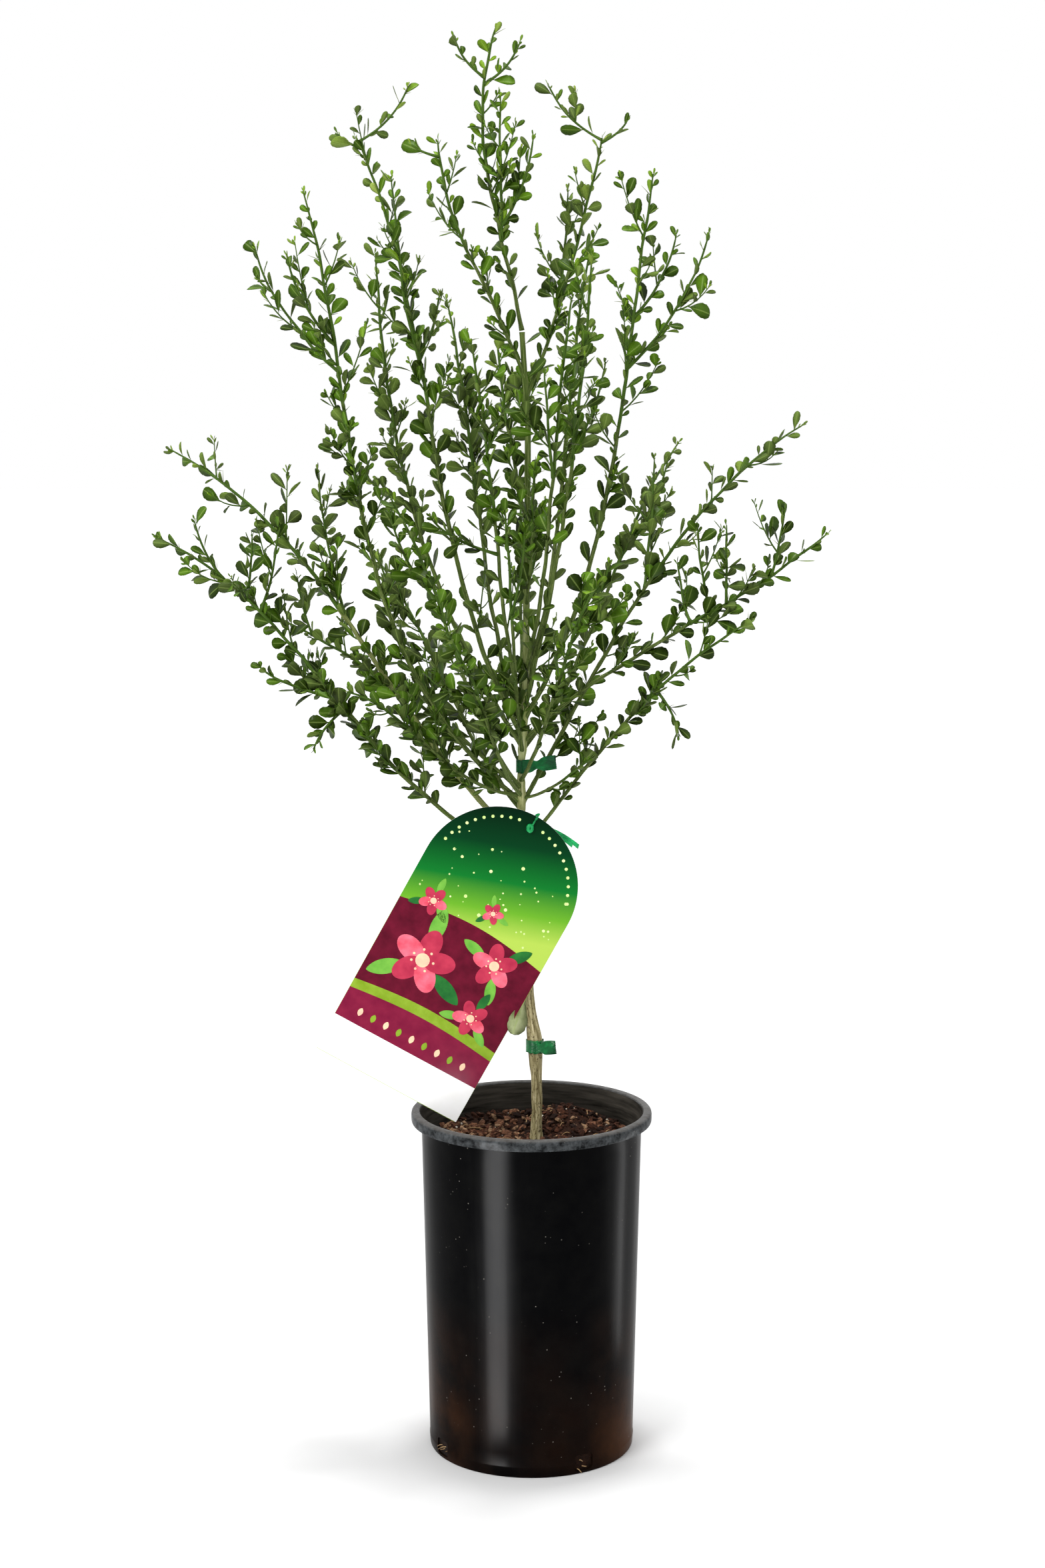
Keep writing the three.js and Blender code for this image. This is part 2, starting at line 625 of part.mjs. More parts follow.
function makeTapeTie(place) {
  const rows = [place.z - tie.tapeWidth / 2, place.z, place.z + tie.tapeWidth / 2].map(trunkAt);
  const lean = Math.abs(rows[0].centre.x - rows[2].centre.x) / 2;
  const clear = Math.max(...rows.map((row) => row.radius)) + lean + gap;
  const radius = clear / Math.cos(Math.PI / tie.ringSides);
  const ringProfile = [
    [radius, -tie.tapeWidth / 2],
    [radius + tie.tapeThickness, -tie.tapeWidth / 2],
    [radius + tie.tapeThickness, tie.tapeWidth / 2],
    [radius, tie.tapeWidth / 2],
    [radius, -tie.tapeWidth / 2],
  ].map(([out, z]) => new THREE.Vector2(out, z));
  const ring = new THREE.LatheGeometry(ringProfile, tie.ringSides).rotateX(Math.PI / 2);
  const tail = new THREE.BoxGeometry(place.tail, tie.tapeThickness, tie.tapeWidth);
  tail.translate(place.tail / 2, 0, 0);
  tail.rotateY(radians(place.tailLean));
  tail.translate(0, -radius - tie.tapeThickness / 2, 0);
  const { centre } = rows[1];
  return solidOf(ring).add(solidOf(tail)).translate([centre.x, 0, place.z]);
}

function makeTagTie() {
  const radius = tag.width / 2;
  const lean = outward(90 - tag.holeLean);
  const upRim = new THREE.Vector3(lean.x, 0, lean.y);
  const head = new THREE.Vector3(tag.headCentre.x, tag.back - tag.thickness / 2, tag.headCentre.z);
  const hole = head.clone().addScaledVector(upRim, radius - tag.holeToEdge);
  const beyond = head.clone().addScaledVector(upRim, radius + 2.4);
  const { centre, radius: wood } = trunkAt(hole.z + 3);
  const away = wood + gap + tie.tapeThickness + 0.1;
  const front = new THREE.Vector3(0, -tag.thickness / 2 - tie.tapeThickness - 1, 0);
  const places = [
    hole.clone().addScaledVector(front, 0.6),
    hole.clone().addScaledVector(front, -0.6),
    new THREE.Vector3(centre.x, -away, hole.z + 0.5),
    new THREE.Vector3(centre.x - away, 0, hole.z + 1),
    new THREE.Vector3(centre.x, away, hole.z + 2),
    new THREE.Vector3(centre.x + away, 0.5, hole.z + 4),
    beyond,
    hole.clone().lerp(beyond, 0.5).add(front),
  ];
  const tail = new THREE.BoxGeometry(tie.tagTail.length, tie.tapeThickness, tie.tagTail.width);
  tail.translate(tie.tagTail.length / 2, 0, 0);
  tail.rotateY(radians(tie.tagTail.drop));
  tail.translate(centre.x + away, 0.5, hole.z + 4);
  return tapeLoop(places, tie.strandWidth, tie.tapeThickness).add(solidOf(tail));
}

// ---------- assembly ----------

const finishes = {
  pot: { color: 0x1a1b1d, roughness: 0.35, metalness: 0 },
  mix: { color: 0x3a2a1e, roughness: 1, metalness: 0 },
  bark: { color: 0x6f6a55, roughness: 0.85, metalness: 0 },
  leaf: { color: 0x3d5a24, roughness: 0.5, metalness: 0 },
  tag: { color: 0x86a53a, roughness: 0.35, metalness: 0 },
  tape: { color: 0x2f7d4a, roughness: 0.5, metalness: 0 },
};

const tree = new THREE.Group();

function place(name, geometry, finish, parent = tree) {
  const mesh = new THREE.Mesh(geometry, new THREE.MeshStandardMaterial(finishes[finish]));
  mesh.name = name;
  parent.add(mesh);
  return mesh;
}

place('pot', geometryOf(makePot()), 'pot');
place('potting_mix', geometryOf(makePottingMix()), 'mix');
place('trunk', geometryOf(makeTrunk(0)), 'bark');

// Each bough and each stem stops a gap short of the trunk and of the boughs made before it.
const trunkClearance = makeTrunk(gap);
const boughClearances = [];
const plainName = (name) => name.replace(/[A-Z]/g, (letter) => `_${letter.toLowerCase()}`);

grown.filter((own) => own.limb.bare > 0).forEach((own) => {
  const cutters = [trunkClearance, ...boughClearances];
  const trimmed = cutters.reduce((solid, cutter) => solid.subtract(cutter), makeBough(own));
  place(`bough_${plainName(own.limb.name)}`, geometryOf(largestBody(trimmed)), 'bark');
  const wider = { ...own, radius: (share) => own.radius(share) + gap * 1.2 };
  boughClearances.push(makeBough(wider));
});

grown.forEach((own, index) => {
  const cutters = own.limb.bare === 0 ? [trunkClearance, ...boughClearances] : [];
  const trimmed = cutters.reduce((body, cutter) => body.subtract(cutter), makeMass(own, index));
  place(`mass_${plainName(own.limb.name)}`, geometryOf(largestBody(trimmed).simplify(0.01)), 'leaf');
});

place('tie_low', geometryOf(makeTapeTie(tie.low)), 'tape');
place('tie_high', geometryOf(makeTapeTie(tie.high)), 'tape');
place('tag_tie', geometryOf(makeTagTie()), 'tape');

const tagHanger = new THREE.Group();
tagHanger.position.set(tag.headCentre.x, tag.back, tag.headCentre.z);
tagHanger.rotation.y = radians(-tag.tilt);
tree.add(tagHanger);
place('tag', makeTag(), 'tag', tagHanger);

export default tree;
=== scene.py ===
import math
import bpy
import numpy as np
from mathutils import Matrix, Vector, noise


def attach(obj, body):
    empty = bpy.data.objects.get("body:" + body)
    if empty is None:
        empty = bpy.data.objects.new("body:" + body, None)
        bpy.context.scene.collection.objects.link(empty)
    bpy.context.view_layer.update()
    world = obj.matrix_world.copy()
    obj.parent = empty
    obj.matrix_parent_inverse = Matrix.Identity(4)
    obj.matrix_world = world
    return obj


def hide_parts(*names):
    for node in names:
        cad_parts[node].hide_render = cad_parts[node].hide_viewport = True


# A finger lime tree in its nursery pot. Sizes are in millimetres and turned to metres where a mesh is made.
# x runs to the right, y to the back, z up, and the origin is the middle of the pot's underside.
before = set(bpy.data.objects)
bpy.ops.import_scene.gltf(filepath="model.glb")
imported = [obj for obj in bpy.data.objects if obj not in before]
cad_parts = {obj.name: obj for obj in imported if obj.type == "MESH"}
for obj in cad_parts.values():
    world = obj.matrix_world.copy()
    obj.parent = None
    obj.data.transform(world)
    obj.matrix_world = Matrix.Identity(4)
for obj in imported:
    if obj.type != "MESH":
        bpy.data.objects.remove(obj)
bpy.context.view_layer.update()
scene = bpy.context.scene
metre = 0.001
goldenAngle = 137.5

cameraView = {"place": (-0.0075, -2.1424, 0.8559), "pitchDown": 7.88, "lens": 60.73}

cameraData = bpy.data.cameras.new("camera")
cameraData.lens = cameraView["lens"]
camera = bpy.data.objects.new("camera", cameraData)
scene.collection.objects.link(camera)
camera.location = cameraView["place"]
camera.rotation_euler = (math.radians(90 - cameraView["pitchDown"]), 0, 0)
scene.camera = camera

studio = {  # places and sizes in metres, power in watts
    "sky": (1.0, 1.0, 1.0), "skyStrength": 1.0,
    "lights": {
        "keySoftbox": {"place": (-1.5, -1.9, 2.3), "aim": (0, 0, 0.7), "size": (1.1, 1.1), "power": 46},
        # the two panels give the pot its shine and light nothing else
        "potPanelLeft": {"place": (-0.073, -0.142, 0.13), "aim": (-0.028, -0.088, 0.13),
                         "size": (0.044, 0.3), "power": 2.4, "shineOnly": True},
        "potPanelRight": {"place": (0.27, 0.02, 0.13), "aim": (0.09, 0.0, 0.13),
                          "size": (0.05, 0.22), "power": 0.42, "shineOnly": True},
    },
    "overhead": {"place": (0.03, 0.15, 1.9), "power": 2.3, "softness": 9},  # the soft shadow round the foot
}


def lightStudio():
    scene.view_settings.view_transform = "Standard"
    world = bpy.data.worlds.new("studioSky")
    scene.world = world
    world.use_nodes = True
    sky = world.node_tree.nodes["Background"]
    sky.inputs["Color"].default_value = (*studio["sky"], 1)
    sky.inputs["Strength"].default_value = studio["skyStrength"]
    for name, row in studio["lights"].items():
        data = bpy.data.lights.new(name, "AREA")
        data.shape = "RECTANGLE"
        data.size, data.size_y = row["size"]
        data.energy = row["power"]
        lamp = bpy.data.objects.new(name, data)
        scene.collection.objects.link(lamp)
        lamp.location = row["place"]
        aim = Vector(row["aim"]) - Vector(row["place"])
        lamp.rotation_euler = aim.to_track_quat("-Z", "Y").to_euler()
        lamp.visible_camera = False
        lamp.visible_diffuse = not row.get("shineOnly", False)
    data = bpy.data.lights.new("overhead", "SUN")
    data.energy = studio["overhead"]["power"]
    data.angle = math.radians(studio["overhead"]["softness"])
    lamp = bpy.data.objects.new("overhead", data)
    scene.collection.objects.link(lamp)
    lamp.rotation_euler = Vector(studio["overhead"]["place"]).to_track_quat("Z", "Y").to_euler()


lightStudio()
print("camera and lights are set")


def tone(code):  # "#rrggbb" to linear light
    parts = [int(code[i:i + 2], 16) / 255 for i in (1, 3, 5)]
    return tuple(((p + 0.055) / 1.055) ** 2.4 if p > 0.04045 else p / 12.92 for p in parts) + (1.0,)


def seededDraw(seed):  # a repeatable stream of numbers from 0 to 1
    whole = 0xFFFFFFFF
    state = [seed & whole]

    def draw():
        state[0] = (state[0] + 0x6D2B79F5) & whole
        mixed = ((state[0] ^ (state[0] >> 15)) * (state[0] | 1)) & whole
        mixed ^= (mixed + (((mixed ^ (mixed >> 7)) * (mixed | 61)) & whole)) & whole
        return ((mixed ^ (mixed >> 14)) & whole) / (whole + 1)

    return draw


def between(pair, share):
    return pair[0] + (pair[1] - pair[0]) * share


def outward(heading):
    return np.array([math.cos(math.radians(heading)), math.sin(math.radians(heading)), 0.0])


def unit(vector):
    return vector / max(np.linalg.norm(vector), 1e-9)


def asPoints(x, y, z):  # rows of x, y, z; any of them may be one number for all
    return np.stack(np.broadcast_arrays(x, y, z), -1)


def levelRing(radius, z, sides):
    turn = np.arange(sides) * 2 * math.pi / sides
    return asPoints(radius * np.cos(turn), radius * np.sin(turn), z)


def curvePoint(controls, share):  # a place on the smooth curve that its control points draw
    rows = [np.asarray(c, float) for c in controls]
    while len(rows) > 1:
        rows = [a + (b - a) * share for a, b in zip(rows, rows[1:])]
    return rows[0]


def joinParts(parts):
    # each part is a dictionary of points, faces (triangles), slot numbers and, if it has one, its grain
    points, faces, slots, grain, start = [], [], [], [], 0
    for part in parts:
        points.append(part["points"])
        faces.append(part["faces"] + start)
        slots.append(np.broadcast_to(part.get("slots", 0), len(part["faces"])))
        grain.append(part.get("grain", part["points"]))
        start += len(part["points"])
    return {"points": np.concatenate(points), "faces": np.concatenate(faces),
            "slots": np.concatenate(slots), "grain": np.concatenate(grain)}


def makePiece(name, part, materials, stoodFor, smooth=True):
    mesh = bpy.data.meshes.new(name)
    mesh.from_pydata((part["points"] * metre).tolist(), [], part["faces"].tolist())
    for material in materials:
        mesh.materials.append(material)
    slots = np.array(np.broadcast_to(part.get("slots", 0), len(part["faces"])), dtype=np.int32)
    mesh.polygons.foreach_set("material_index", slots)
    mesh.polygons.foreach_set("use_smooth", np.full(len(part["faces"]), smooth))
    if "grain" in part:
        grain = mesh.attributes.new("grain", "FLOAT_VECTOR", "POINT")
        grain.data.foreach_set("vector", np.asarray(part["grain"], dtype=np.float32).ravel())
    mesh.update()
    piece = bpy.data.objects.new(name, mesh)
    scene.collection.objects.link(piece)
    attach(piece, "root")
    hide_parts(*stoodFor)
    print(f"{name}: {len(part['faces'])} triangles")
    return piece


# rings of points joined by side faces, each end closed by a fan to its middle
def sleeve(rings, closed=False):
    count, sides = rings.shape[:2]
    points = rings.reshape(-1, 3)
    ring = np.arange(count if closed else count - 1)[:, None] * sides
    side = np.arange(sides)[None, :]
    a, b = ring + side, ring + (side + 1) % sides
    c, d = (a + sides) % (count * sides), (b + sides) % (count * sides)
    faces = np.concatenate([asPoints(a, b, d).reshape(-1, 3), asPoints(a, d, c).reshape(-1, 3)])
    if not closed:
        ends = np.array([rings[0].mean(0), rings[-1].mean(0)])
        first, last, top = len(points), len(points) + 1, (count - 1) * sides
        around = np.arange(sides)
        onward = (around + 1) % sides
        points = np.concatenate([points, ends])
        caps = [asPoints(around, first, onward), asPoints(top + around, top + onward, last)]
        faces = np.concatenate([faces, *caps])
    return {"points": points, "faces": faces}


# a round limb along a path; its grain runs round and along it, so that bark lines follow the limb
def tube(path, radii, sides, level=None, relief=None, grainStart=0.0):
    path, radii = np.asarray(path, float), np.asarray(radii, float)
    tangents = np.gradient(path, axis=0)
    tangents /= np.linalg.norm(tangents, axis=1)[:, None]
    if level is None:
        level = np.cross(tangents[len(tangents) // 2], [0.31, 0.52, 0.79])
    across = level - tangents * (tangents @ level)[:, None]
    across /= np.linalg.norm(across, axis=1)[:, None]
    upper = np.cross(across, tangents)
    turn = np.arange(sides) * 2 * math.pi / sides
    cosine, sine = np.cos(turn)[None, :], np.sin(turn)[None, :]
    spokes = across[:, None, :] * cosine[..., None] + upper[:, None, :] * sine[..., None]
    reach = np.repeat(radii[:, None], sides, 1)
    lengths = np.concatenate([[0], np.cumsum(np.linalg.norm(np.diff(path, axis=0), axis=1))]) + grainStart
    grain = asPoints(cosine, sine, lengths[:, None] / 10)
    if relief is not None:
        reach = reach * (1 + relief(grain))
    part = sleeve(path[:, None, :] + spokes * reach[:, :, None])
    ends = np.array([[0, 0, lengths[0] / 10], [0, 0, lengths[-1] / 10]])
    part["grain"] = np.concatenate([grain.reshape(-1, 3), ends])
    return part


def bumps(places, scale, stretch=1.0):  # smooth noise at each place, from -1 to 1
    flat = places.reshape(-1, 3) * scale
    flat[:, 2] *= stretch
    return np.array([noise.noise(Vector(p)) for p in flat]).reshape(places.shape[:-1])


def newMaterial(name, rough, shine):
    material = bpy.data.materials.new(name)
    material.use_nodes = True
    shader = material.node_tree.nodes["Principled BSDF"]
    shader.inputs["Roughness"].default_value = rough
    shader.inputs["Specular IOR Level"].default_value = shine
    return material, shader


def feed(socket, value):  # a socket takes a fixed value or another node's output
    if isinstance(value, bpy.types.NodeSocket):
        socket.id_data.links.new(value, socket)
    else:
        socket.default_value = value


def addNode(material, kind, sockets, **settings):
    node = material.node_tree.nodes.new(kind)
    for key, value in settings.items():
        setattr(node, key, value)
    for socket, value in sockets.items():
        feed(node.inputs[socket], value)
    return node


def placeOf(material, stretch=(1, 1, 1), grain=False):
    # where a point of the surface is: in the room, in metres, or along and round its limb
    if grain:
        source = addNode(material, "ShaderNodeAttribute", {}, attribute_name="grain").outputs["Vector"]
    else:
        source = addNode(material, "ShaderNodeTexCoord", {}).outputs["Object"]
    return addNode(material, "ShaderNodeMapping", {"Vector": source, "Scale": stretch}).outputs["Vector"]


def axes(material, place):
    return list(addNode(material, "ShaderNodeSeparateXYZ", {"Vector": place}).outputs)


def cloud(material, place, scale, detail=3.0, rough=0.55):
    sockets = {"Vector": place, "Scale": scale, "Detail": detail, "Roughness": rough}
    return addNode(material, "ShaderNodeTexNoise", sockets).outputs["Fac"]


def ramp(material, value, stops):
    node = addNode(material, "ShaderNodeValToRGB", {"Fac": value})
    bar = node.color_ramp
    while len(bar.elements) < len(stops):
        bar.elements.new(0.5)
    for element, (position, code) in zip(bar.elements, stops):
        element.position = position
        element.color = tone(code)
    return node.outputs["Color"]


def spread(material, value, low, high, toLow, toHigh):
    sockets = {"Value": value, "From Min": low, "From Max": high, "To Min": toLow, "To Max": toHigh}
    return addNode(material, "ShaderNodeMapRange", sockets).outputs["Result"]


def reckon(material, operation, *terms):
    return addNode(material, "ShaderNodeMath", dict(enumerate(terms)), operation=operation).outputs["Value"]


def layered(material, under, over, share):
    sockets = {"Factor": share, "A": under, "B": tone(over) if isinstance(over, str) else over}
    return addNode(material, "ShaderNodeMix", sockets, data_type="RGBA").outputs["Result"]


def raised(material, shader, height, strength, depth):
    bump = addNode(material, "ShaderNodeBump", {"Strength": strength, "Distance": depth, "Height": height})
    feed(shader.inputs["Normal"], bump.outputs["Normal"])


# a finish whose colour wanders between its stops; spots and relief are size, detail and roughness of a cloud
def mottled(name, rough, shine, stops, spots, relief=None, strength=0.5, depth=0.001, **where):
    material, shader = newMaterial(name, rough, shine)
    place = placeOf(material, **where)
    feed(shader.inputs["Base Color"], ramp(material, cloud(material, place, *spots), stops))
    if relief:
        raised(material, shader, cloud(material, place, *relief), strength, depth)
    return material


potShape = {
    "height": 286.6, "rimRadius": 100.0, "mouthRadius": 92.5, "rimDepth": 9.5, "shoulderRadius": 91.5,
    "footRadius": 85.3, "wall": 1.3, "floor": 2.0, "footLine": 9.0, "sides": 160,
    "outOfRound": 0.0012,  # thin plastic is never quite round
    "slotCount": 4, "slotFirst": -60, "slotWidth": 17.0, "slotHeight": 13.5, "slotSill": 2.6,
    "slotDepth": 14.0, "slotCorner": 3.0,
}
potLook = {  # heights and widths in metres
    "specular": 0.017, "body": "#030304", "bodyWorn": "#080808", "inner": "#181613", "innerWorn": "#45413b",
    "rim": "#0f1011", "rimWorn": "#4a4d4f", "rimFrom": (0.2752, 0.2768),
    "lip": "#7b7773", "lipFrom": (0.2846, 0.2864), "lipShare": 0.36,
    # the soil stain colour also stands for a painted brown reflection, which the flank widths put on the
    # pot's left and right sides
    "soilStainAndBrownReflection": "#4c2f1c", "stainAndReflectionTop": 0.145, "stainAndReflectionShare": 0.82, "paintedReflectionFlanks": (0.045, 0.08),
    "stainAndReflectionInFront": 0.14, "dust": "#a9a39a", "dustShare": 0.4,
}


def wallRadius(z):
    share = z / (potShape["height"] - potShape["rimDepth"])
    return between((potShape["footRadius"], potShape["shoulderRadius"]), share)


def innerPlastic():
    stops = [(0.3, potLook["inner"]), (0.7, potLook["innerWorn"])]
    return mottled("dustyPotPlastic", 0.5, potLook["specular"], stops, (90, 4, 0.6), (60, 3), 0.15, 0.001,
                   stretch=(0.25, 0.25, 3))


def potPlastic():
    look = potLook
    material, shader = newMaterial("blackPotPlastic", 0.24, look["specular"])
    place, long = placeOf(material), placeOf(material, (1, 1, 0.06))
    x, _, z = axes(material, place)
    body = ramp(material, cloud(material, place, 55, 5), [(0.35, look["body"]), (0.75, look["bodyWorn"])])
    rim = ramp(material, cloud(material, place, 160, 6, 0.7), [(0.35, look["rim"]), (0.66, look["rimWorn"])])
    rim = layered(material, rim, look["lip"], spread(material, z, *look["lipFrom"], 0, look["lipShare"]))
    body = layered(material, body, rim, spread(material, z, *look["rimFrom"], 0, 1))
    # splashed soil, low on the wall and in blotches, together with a painted brown reflection: the same
    # colour is strongest on the left and right flanks
    low = spread(material, z, 0.0, look["stainAndReflectionTop"], look["stainAndReflectionShare"], 0)
    blotch = spread(material, cloud(material, place, 17, 4), 0.38, 0.66, 0.12, 1)
    # the left and right flanks get the most of the painted brown reflection, the front little of it
    paintedReflectionFlank = spread(material, reckon(material, "ABSOLUTE", x), *look["paintedReflectionFlanks"], look["stainAndReflectionInFront"], 1)
    stainAndReflection = reckon(material, "MULTIPLY", reckon(material, "MULTIPLY", low, blotch), paintedReflectionFlank)
    body = layered(material, body, look["soilStainAndBrownReflection"], stainAndReflection)
    specks = addNode(material, "ShaderNodeTexVoronoi", {"Scale": 150, "Vector": place}).outputs["Distance"]
    dot = spread(material, specks, 0.05, 0.09, look["dustShare"], 0)
    few = spread(material, cloud(material, place, 30, 2), 0.5, 0.62, 0, 1)
    body = layered(material, body, look["dust"], reckon(material, "MULTIPLY", dot, few))
    feed(shader.inputs["Base Color"], body)
    feed(shader.inputs["Roughness"], spread(material, cloud(material, long, 70, 4), 0.3, 0.75, 0.2, 0.36))
    raised(material, shader, cloud(material, long, 22, 3), 0.12, 0.002)
    return material


def potProfile():  # radius and height: up the outside from the middle of the foot, then down the inside
    s = potShape
    foot, rim, mouth, shoulder = s["footRadius"], s["rimRadius"], s["mouthRadius"], s["shoulderRadius"]
    line, top = s["footLine"], s["height"]
    under = top - s["rimDepth"]
    outside = [(0.5, 0.6), (foot - 8, 0.6), (foot - 6, 0), (foot - 1.4, 0), (foot - 0.4, 0.4), (foot, 1.4),
               (wallRadius(line) + 0.35, line - 0.6), (wallRadius(line) + 0.35, line + 0.3),
               *[(wallRadius(z), z) for z in np.linspace(line + 1.2, under - 2.5, 26)],
               (shoulder + 0.3, under - 0.8), (shoulder + 1.6, under), (rim - 2.0, under),
               (rim - 0.6, under + 0.5), (rim - 0.1, under + 1.6), (rim, under + 3), (rim, top - 3),
               (rim - 0.3, top - 1.3), (rim - 1.2, top - 0.3), (rim - 2.4, top), (mouth + 2.0, top),
               (mouth + 0.8, top - 0.3), (mouth + 0.1, top - 1.4)]
    inside = [(mouth - 0.4, top - 4), (shoulder - s["wall"], under - 4),
              *[(wallRadius(z) - s["wall"], z) for z in np.linspace(under - 20, s["floor"] + 3, 12)],
              (foot - s["wall"] - 1.0, s["floor"]), (0.5, s["floor"])]
    return outside, inside


def cutDrainSlot(pot, heading):
    s = potShape
    corner, low, high = s["slotCorner"], s["slotSill"], s["slotSill"] + s["slotHeight"]
    reach, depths = s["slotWidth"] / 2 - corner, (-s["slotDepth"] / 2, s["slotDepth"] / 2)
    corners = ((1, low + corner, -90), (1, high - corner, 0), (-1, high - corner, 90),
               (-1, low + corner, 180))
    outline = [(side * reach + corner * math.cos(a), level + corner * math.sin(a))
               for side, level, start in corners for a in (math.radians(start + 22.5 * k) for k in range(5))]
    rings = np.array([[(s["footRadius"] + depth, across, up) for across, up in outline] for depth in depths])
    cosine, sine = math.cos(heading), math.sin(heading)
    block = sleeve(rings @ np.array([[cosine, sine, 0], [-sine, cosine, 0], [0, 0, 1]]))
    cutter = bpy.data.meshes.new("slotCutter")
    cutter.from_pydata((block["points"] * metre).tolist(), [], block["faces"].tolist())
    tool = bpy.data.objects.new("slotCutter", cutter)
    scene.collection.objects.link(tool)
    cut = pot.modifiers.new("drainSlot", "BOOLEAN")
    cut.operation, cut.solver, cut.object = "DIFFERENCE", "EXACT", tool
    finished = bpy.data.meshes.new_from_object(pot.evaluated_get(bpy.context.evaluated_depsgraph_get()))
    pot.modifiers.clear()
    pot.data = finished
    bpy.data.objects.remove(tool)


def makePot():
    outside, inside = potProfile()
    sides = potShape["sides"]
    part = sleeve(np.array([levelRing(radius, z, sides) for radius, z in outside + inside]))
    x, y, z = part["points"].T
    sway = 1 + potShape["outOfRound"] * np.sin(2 * np.arctan2(y, x) + 0.6) * np.clip(z / 280, 0, 1)
    part["points"][:, :2] *= np.minimum(sway, 1.0)[:, None]
    part["slots"] = np.where(part["faces"].max(1) // sides >= len(outside), 1, 0)
    pot = makePiece("nurseryPot", part, [potPlastic(), innerPlastic()], ["pot"])
    for index in range(potShape["slotCount"]):
        cutDrainSlot(pot, math.radians(potShape["slotFirst"] + 360 * index / potShape["slotCount"]))
    pot.data.name = "nurseryPot"
    pot.data.set_sharp_from_angle(angle=math.radians(40))


makePot()
print("the pot is made")

mixShape = {
    "level": 260.0, "mound": 7.0, "wallDip": 0.5, "standRadius": 16.0, "wallGap": 0.6, "sides": 120,
    "heap": (30, 46, 8, 17),  # where it lies, how high and how far it reaches
    "palerChipsPatch": ((-8, 32), 0.8),  # left of and before this the chips are drawn more from the paler tones
    "chips": 1500, "chipSize": (1.2, 6.4), "chipFlatness": (0.22, 0.7),
    "perlite": 90, "perliteSize": (0.6, 1.5), "roots": 30, "rootLength": (9, 30),
    "slotRoots": {-60: 3, -150: 6},  # how many at which drainage slot
}
mixLook = {
    "chipTones": ["#20120c", "#3b2318", "#573526", "#7c553f", "#ab8869"],
    "chipShares": [0.3, 0.32, 0.22, 0.11, 0.05],
    "perlite": ("#8f8677", "#cfc8bb"), "root": ("#6d5236", "#b3946c"), "soil": ("#180e0a", "#3c251a"),
}


def mixHeight(x, y):
    mound = mixShape["mound"]
    base = mixShape["level"] + np.interp(np.hypot(x, y), [0, mixShape["standRadius"], 34, 64, 90],
                                         [0, 0, 0.62 * mound, mound, -mixShape["wallDip"]])
    places = asPoints(x, y, 0.0)
    heapX, heapY, height, reach = mixShape["heap"]
    base = base + height * np.exp(-((x - heapX) ** 2 + (y - heapY) ** 2) / (2 * reach ** 2))
    return base + 1.5 * bumps(places, 0.07) + 0.8 * bumps(places, 0.21)


def mixSpot(draw, rim):  # a place on the mix, drawn evenly within the rim
    radius, angle = rim * math.sqrt(draw()), 2 * math.pi * draw()
    x, y = radius * math.cos(angle), radius * math.sin(angle)
    return x, y, float(mixHeight(np.array([x]), np.array([y]))[0])


def chipAt(draw, size, flatness, slot):
    turn = np.arange(6) * math.pi / 3
    rings = []
    for level, share in ((-0.5, 0.72), (0.0, 1.0), (0.5, 0.66)):
        reach = share * (0.75 + 0.45 * np.array([draw() for _ in range(6)]))
        ragged = 0.12 * size * np.array([draw() - 0.5 for _ in range(6)])
        rings.append(asPoints(reach * np.cos(turn) * size, reach * np.sin(turn) * size * flatness,
                              level * size * 0.5 + ragged))
    part = sleeve(np.array(rings))
    angles = [2 * math.pi * draw(), (draw() - 0.5) * 1.5, (draw() - 0.5) * 1.5]
    c, n = np.cos(angles), np.sin(angles)
    spin = np.array([[c[0], -n[0], 0], [n[0], c[0], 0], [0, 0, 1]])
    tip = np.array([[c[1], 0, n[1]], [0, 1, 0], [-n[1], 0, c[1]]])
    roll = np.array([[1, 0, 0], [0, c[2], -n[2]], [0, n[2], c[2]]])
    part["points"] = part["points"] @ (spin @ tip @ roll).T
    part["slots"] = slot
    return part


def crumb(name, dark, light, rough=0.9):
    return mottled(name, rough, 0.1, [(0.3, dark), (0.68, light)], (420, 4), (900, 3), 0.5, 0.0006)


def makeMixBed(edge):
    sides, foot = mixShape["sides"], wallRadius(potShape["floor"]) - potShape["wall"] - mixShape["wallGap"]
    rings = [levelRing(radius, z, sides) for radius, z in ((1, 2.6), (foot, 2.6), (edge - 0.2, 250))]
    for radius in np.linspace(edge, 1.0, 46):
        ring = levelRing(radius, 0.0, sides)
        ring[:, 2] = mixHeight(ring[:, 0], ring[:, 1])
        rings.append(ring)
    soil = mottled("pottingSoil", 0.95, 0.1, [(0.3, mixLook["soil"][0]), (0.7, mixLook["soil"][1])],
                   (260, 6, 0.7), (500, 5, 0.7), 0.9, 0.002)
    makePiece("pottingMixBed", sleeve(np.array(rings)), [soil], ["potting_mix"])


def makeChips(draw, edge):
    steps = np.cumsum(mixLook["chipShares"])
    (left, front), paler = mixShape["palerChipsPatch"]
    chips = []
    for _ in range(mixShape["chips"]):
        size = between(mixShape["chipSize"], draw() ** 2.0)
        x, y, z = mixSpot(draw, edge - 5.5)
        pale = paler if x < left and y < front else 0
        slot = int(np.searchsorted(steps, min(pale + (1 - pale) * draw(), 0.999)))
        chips.append(chipAt(draw, size, between(mixShape["chipFlatness"], draw()), slot))
        chips[-1]["points"] += (x, y, z + 0.25 * size)
    dark = mixLook["soil"][0]
    browns = [crumb(f"barkChip{i + 1}", dark, light) for i, light in enumerate(mixLook["chipTones"])]
    makePiece("barkChips", joinParts(chips), browns, ["potting_mix"], smooth=False)


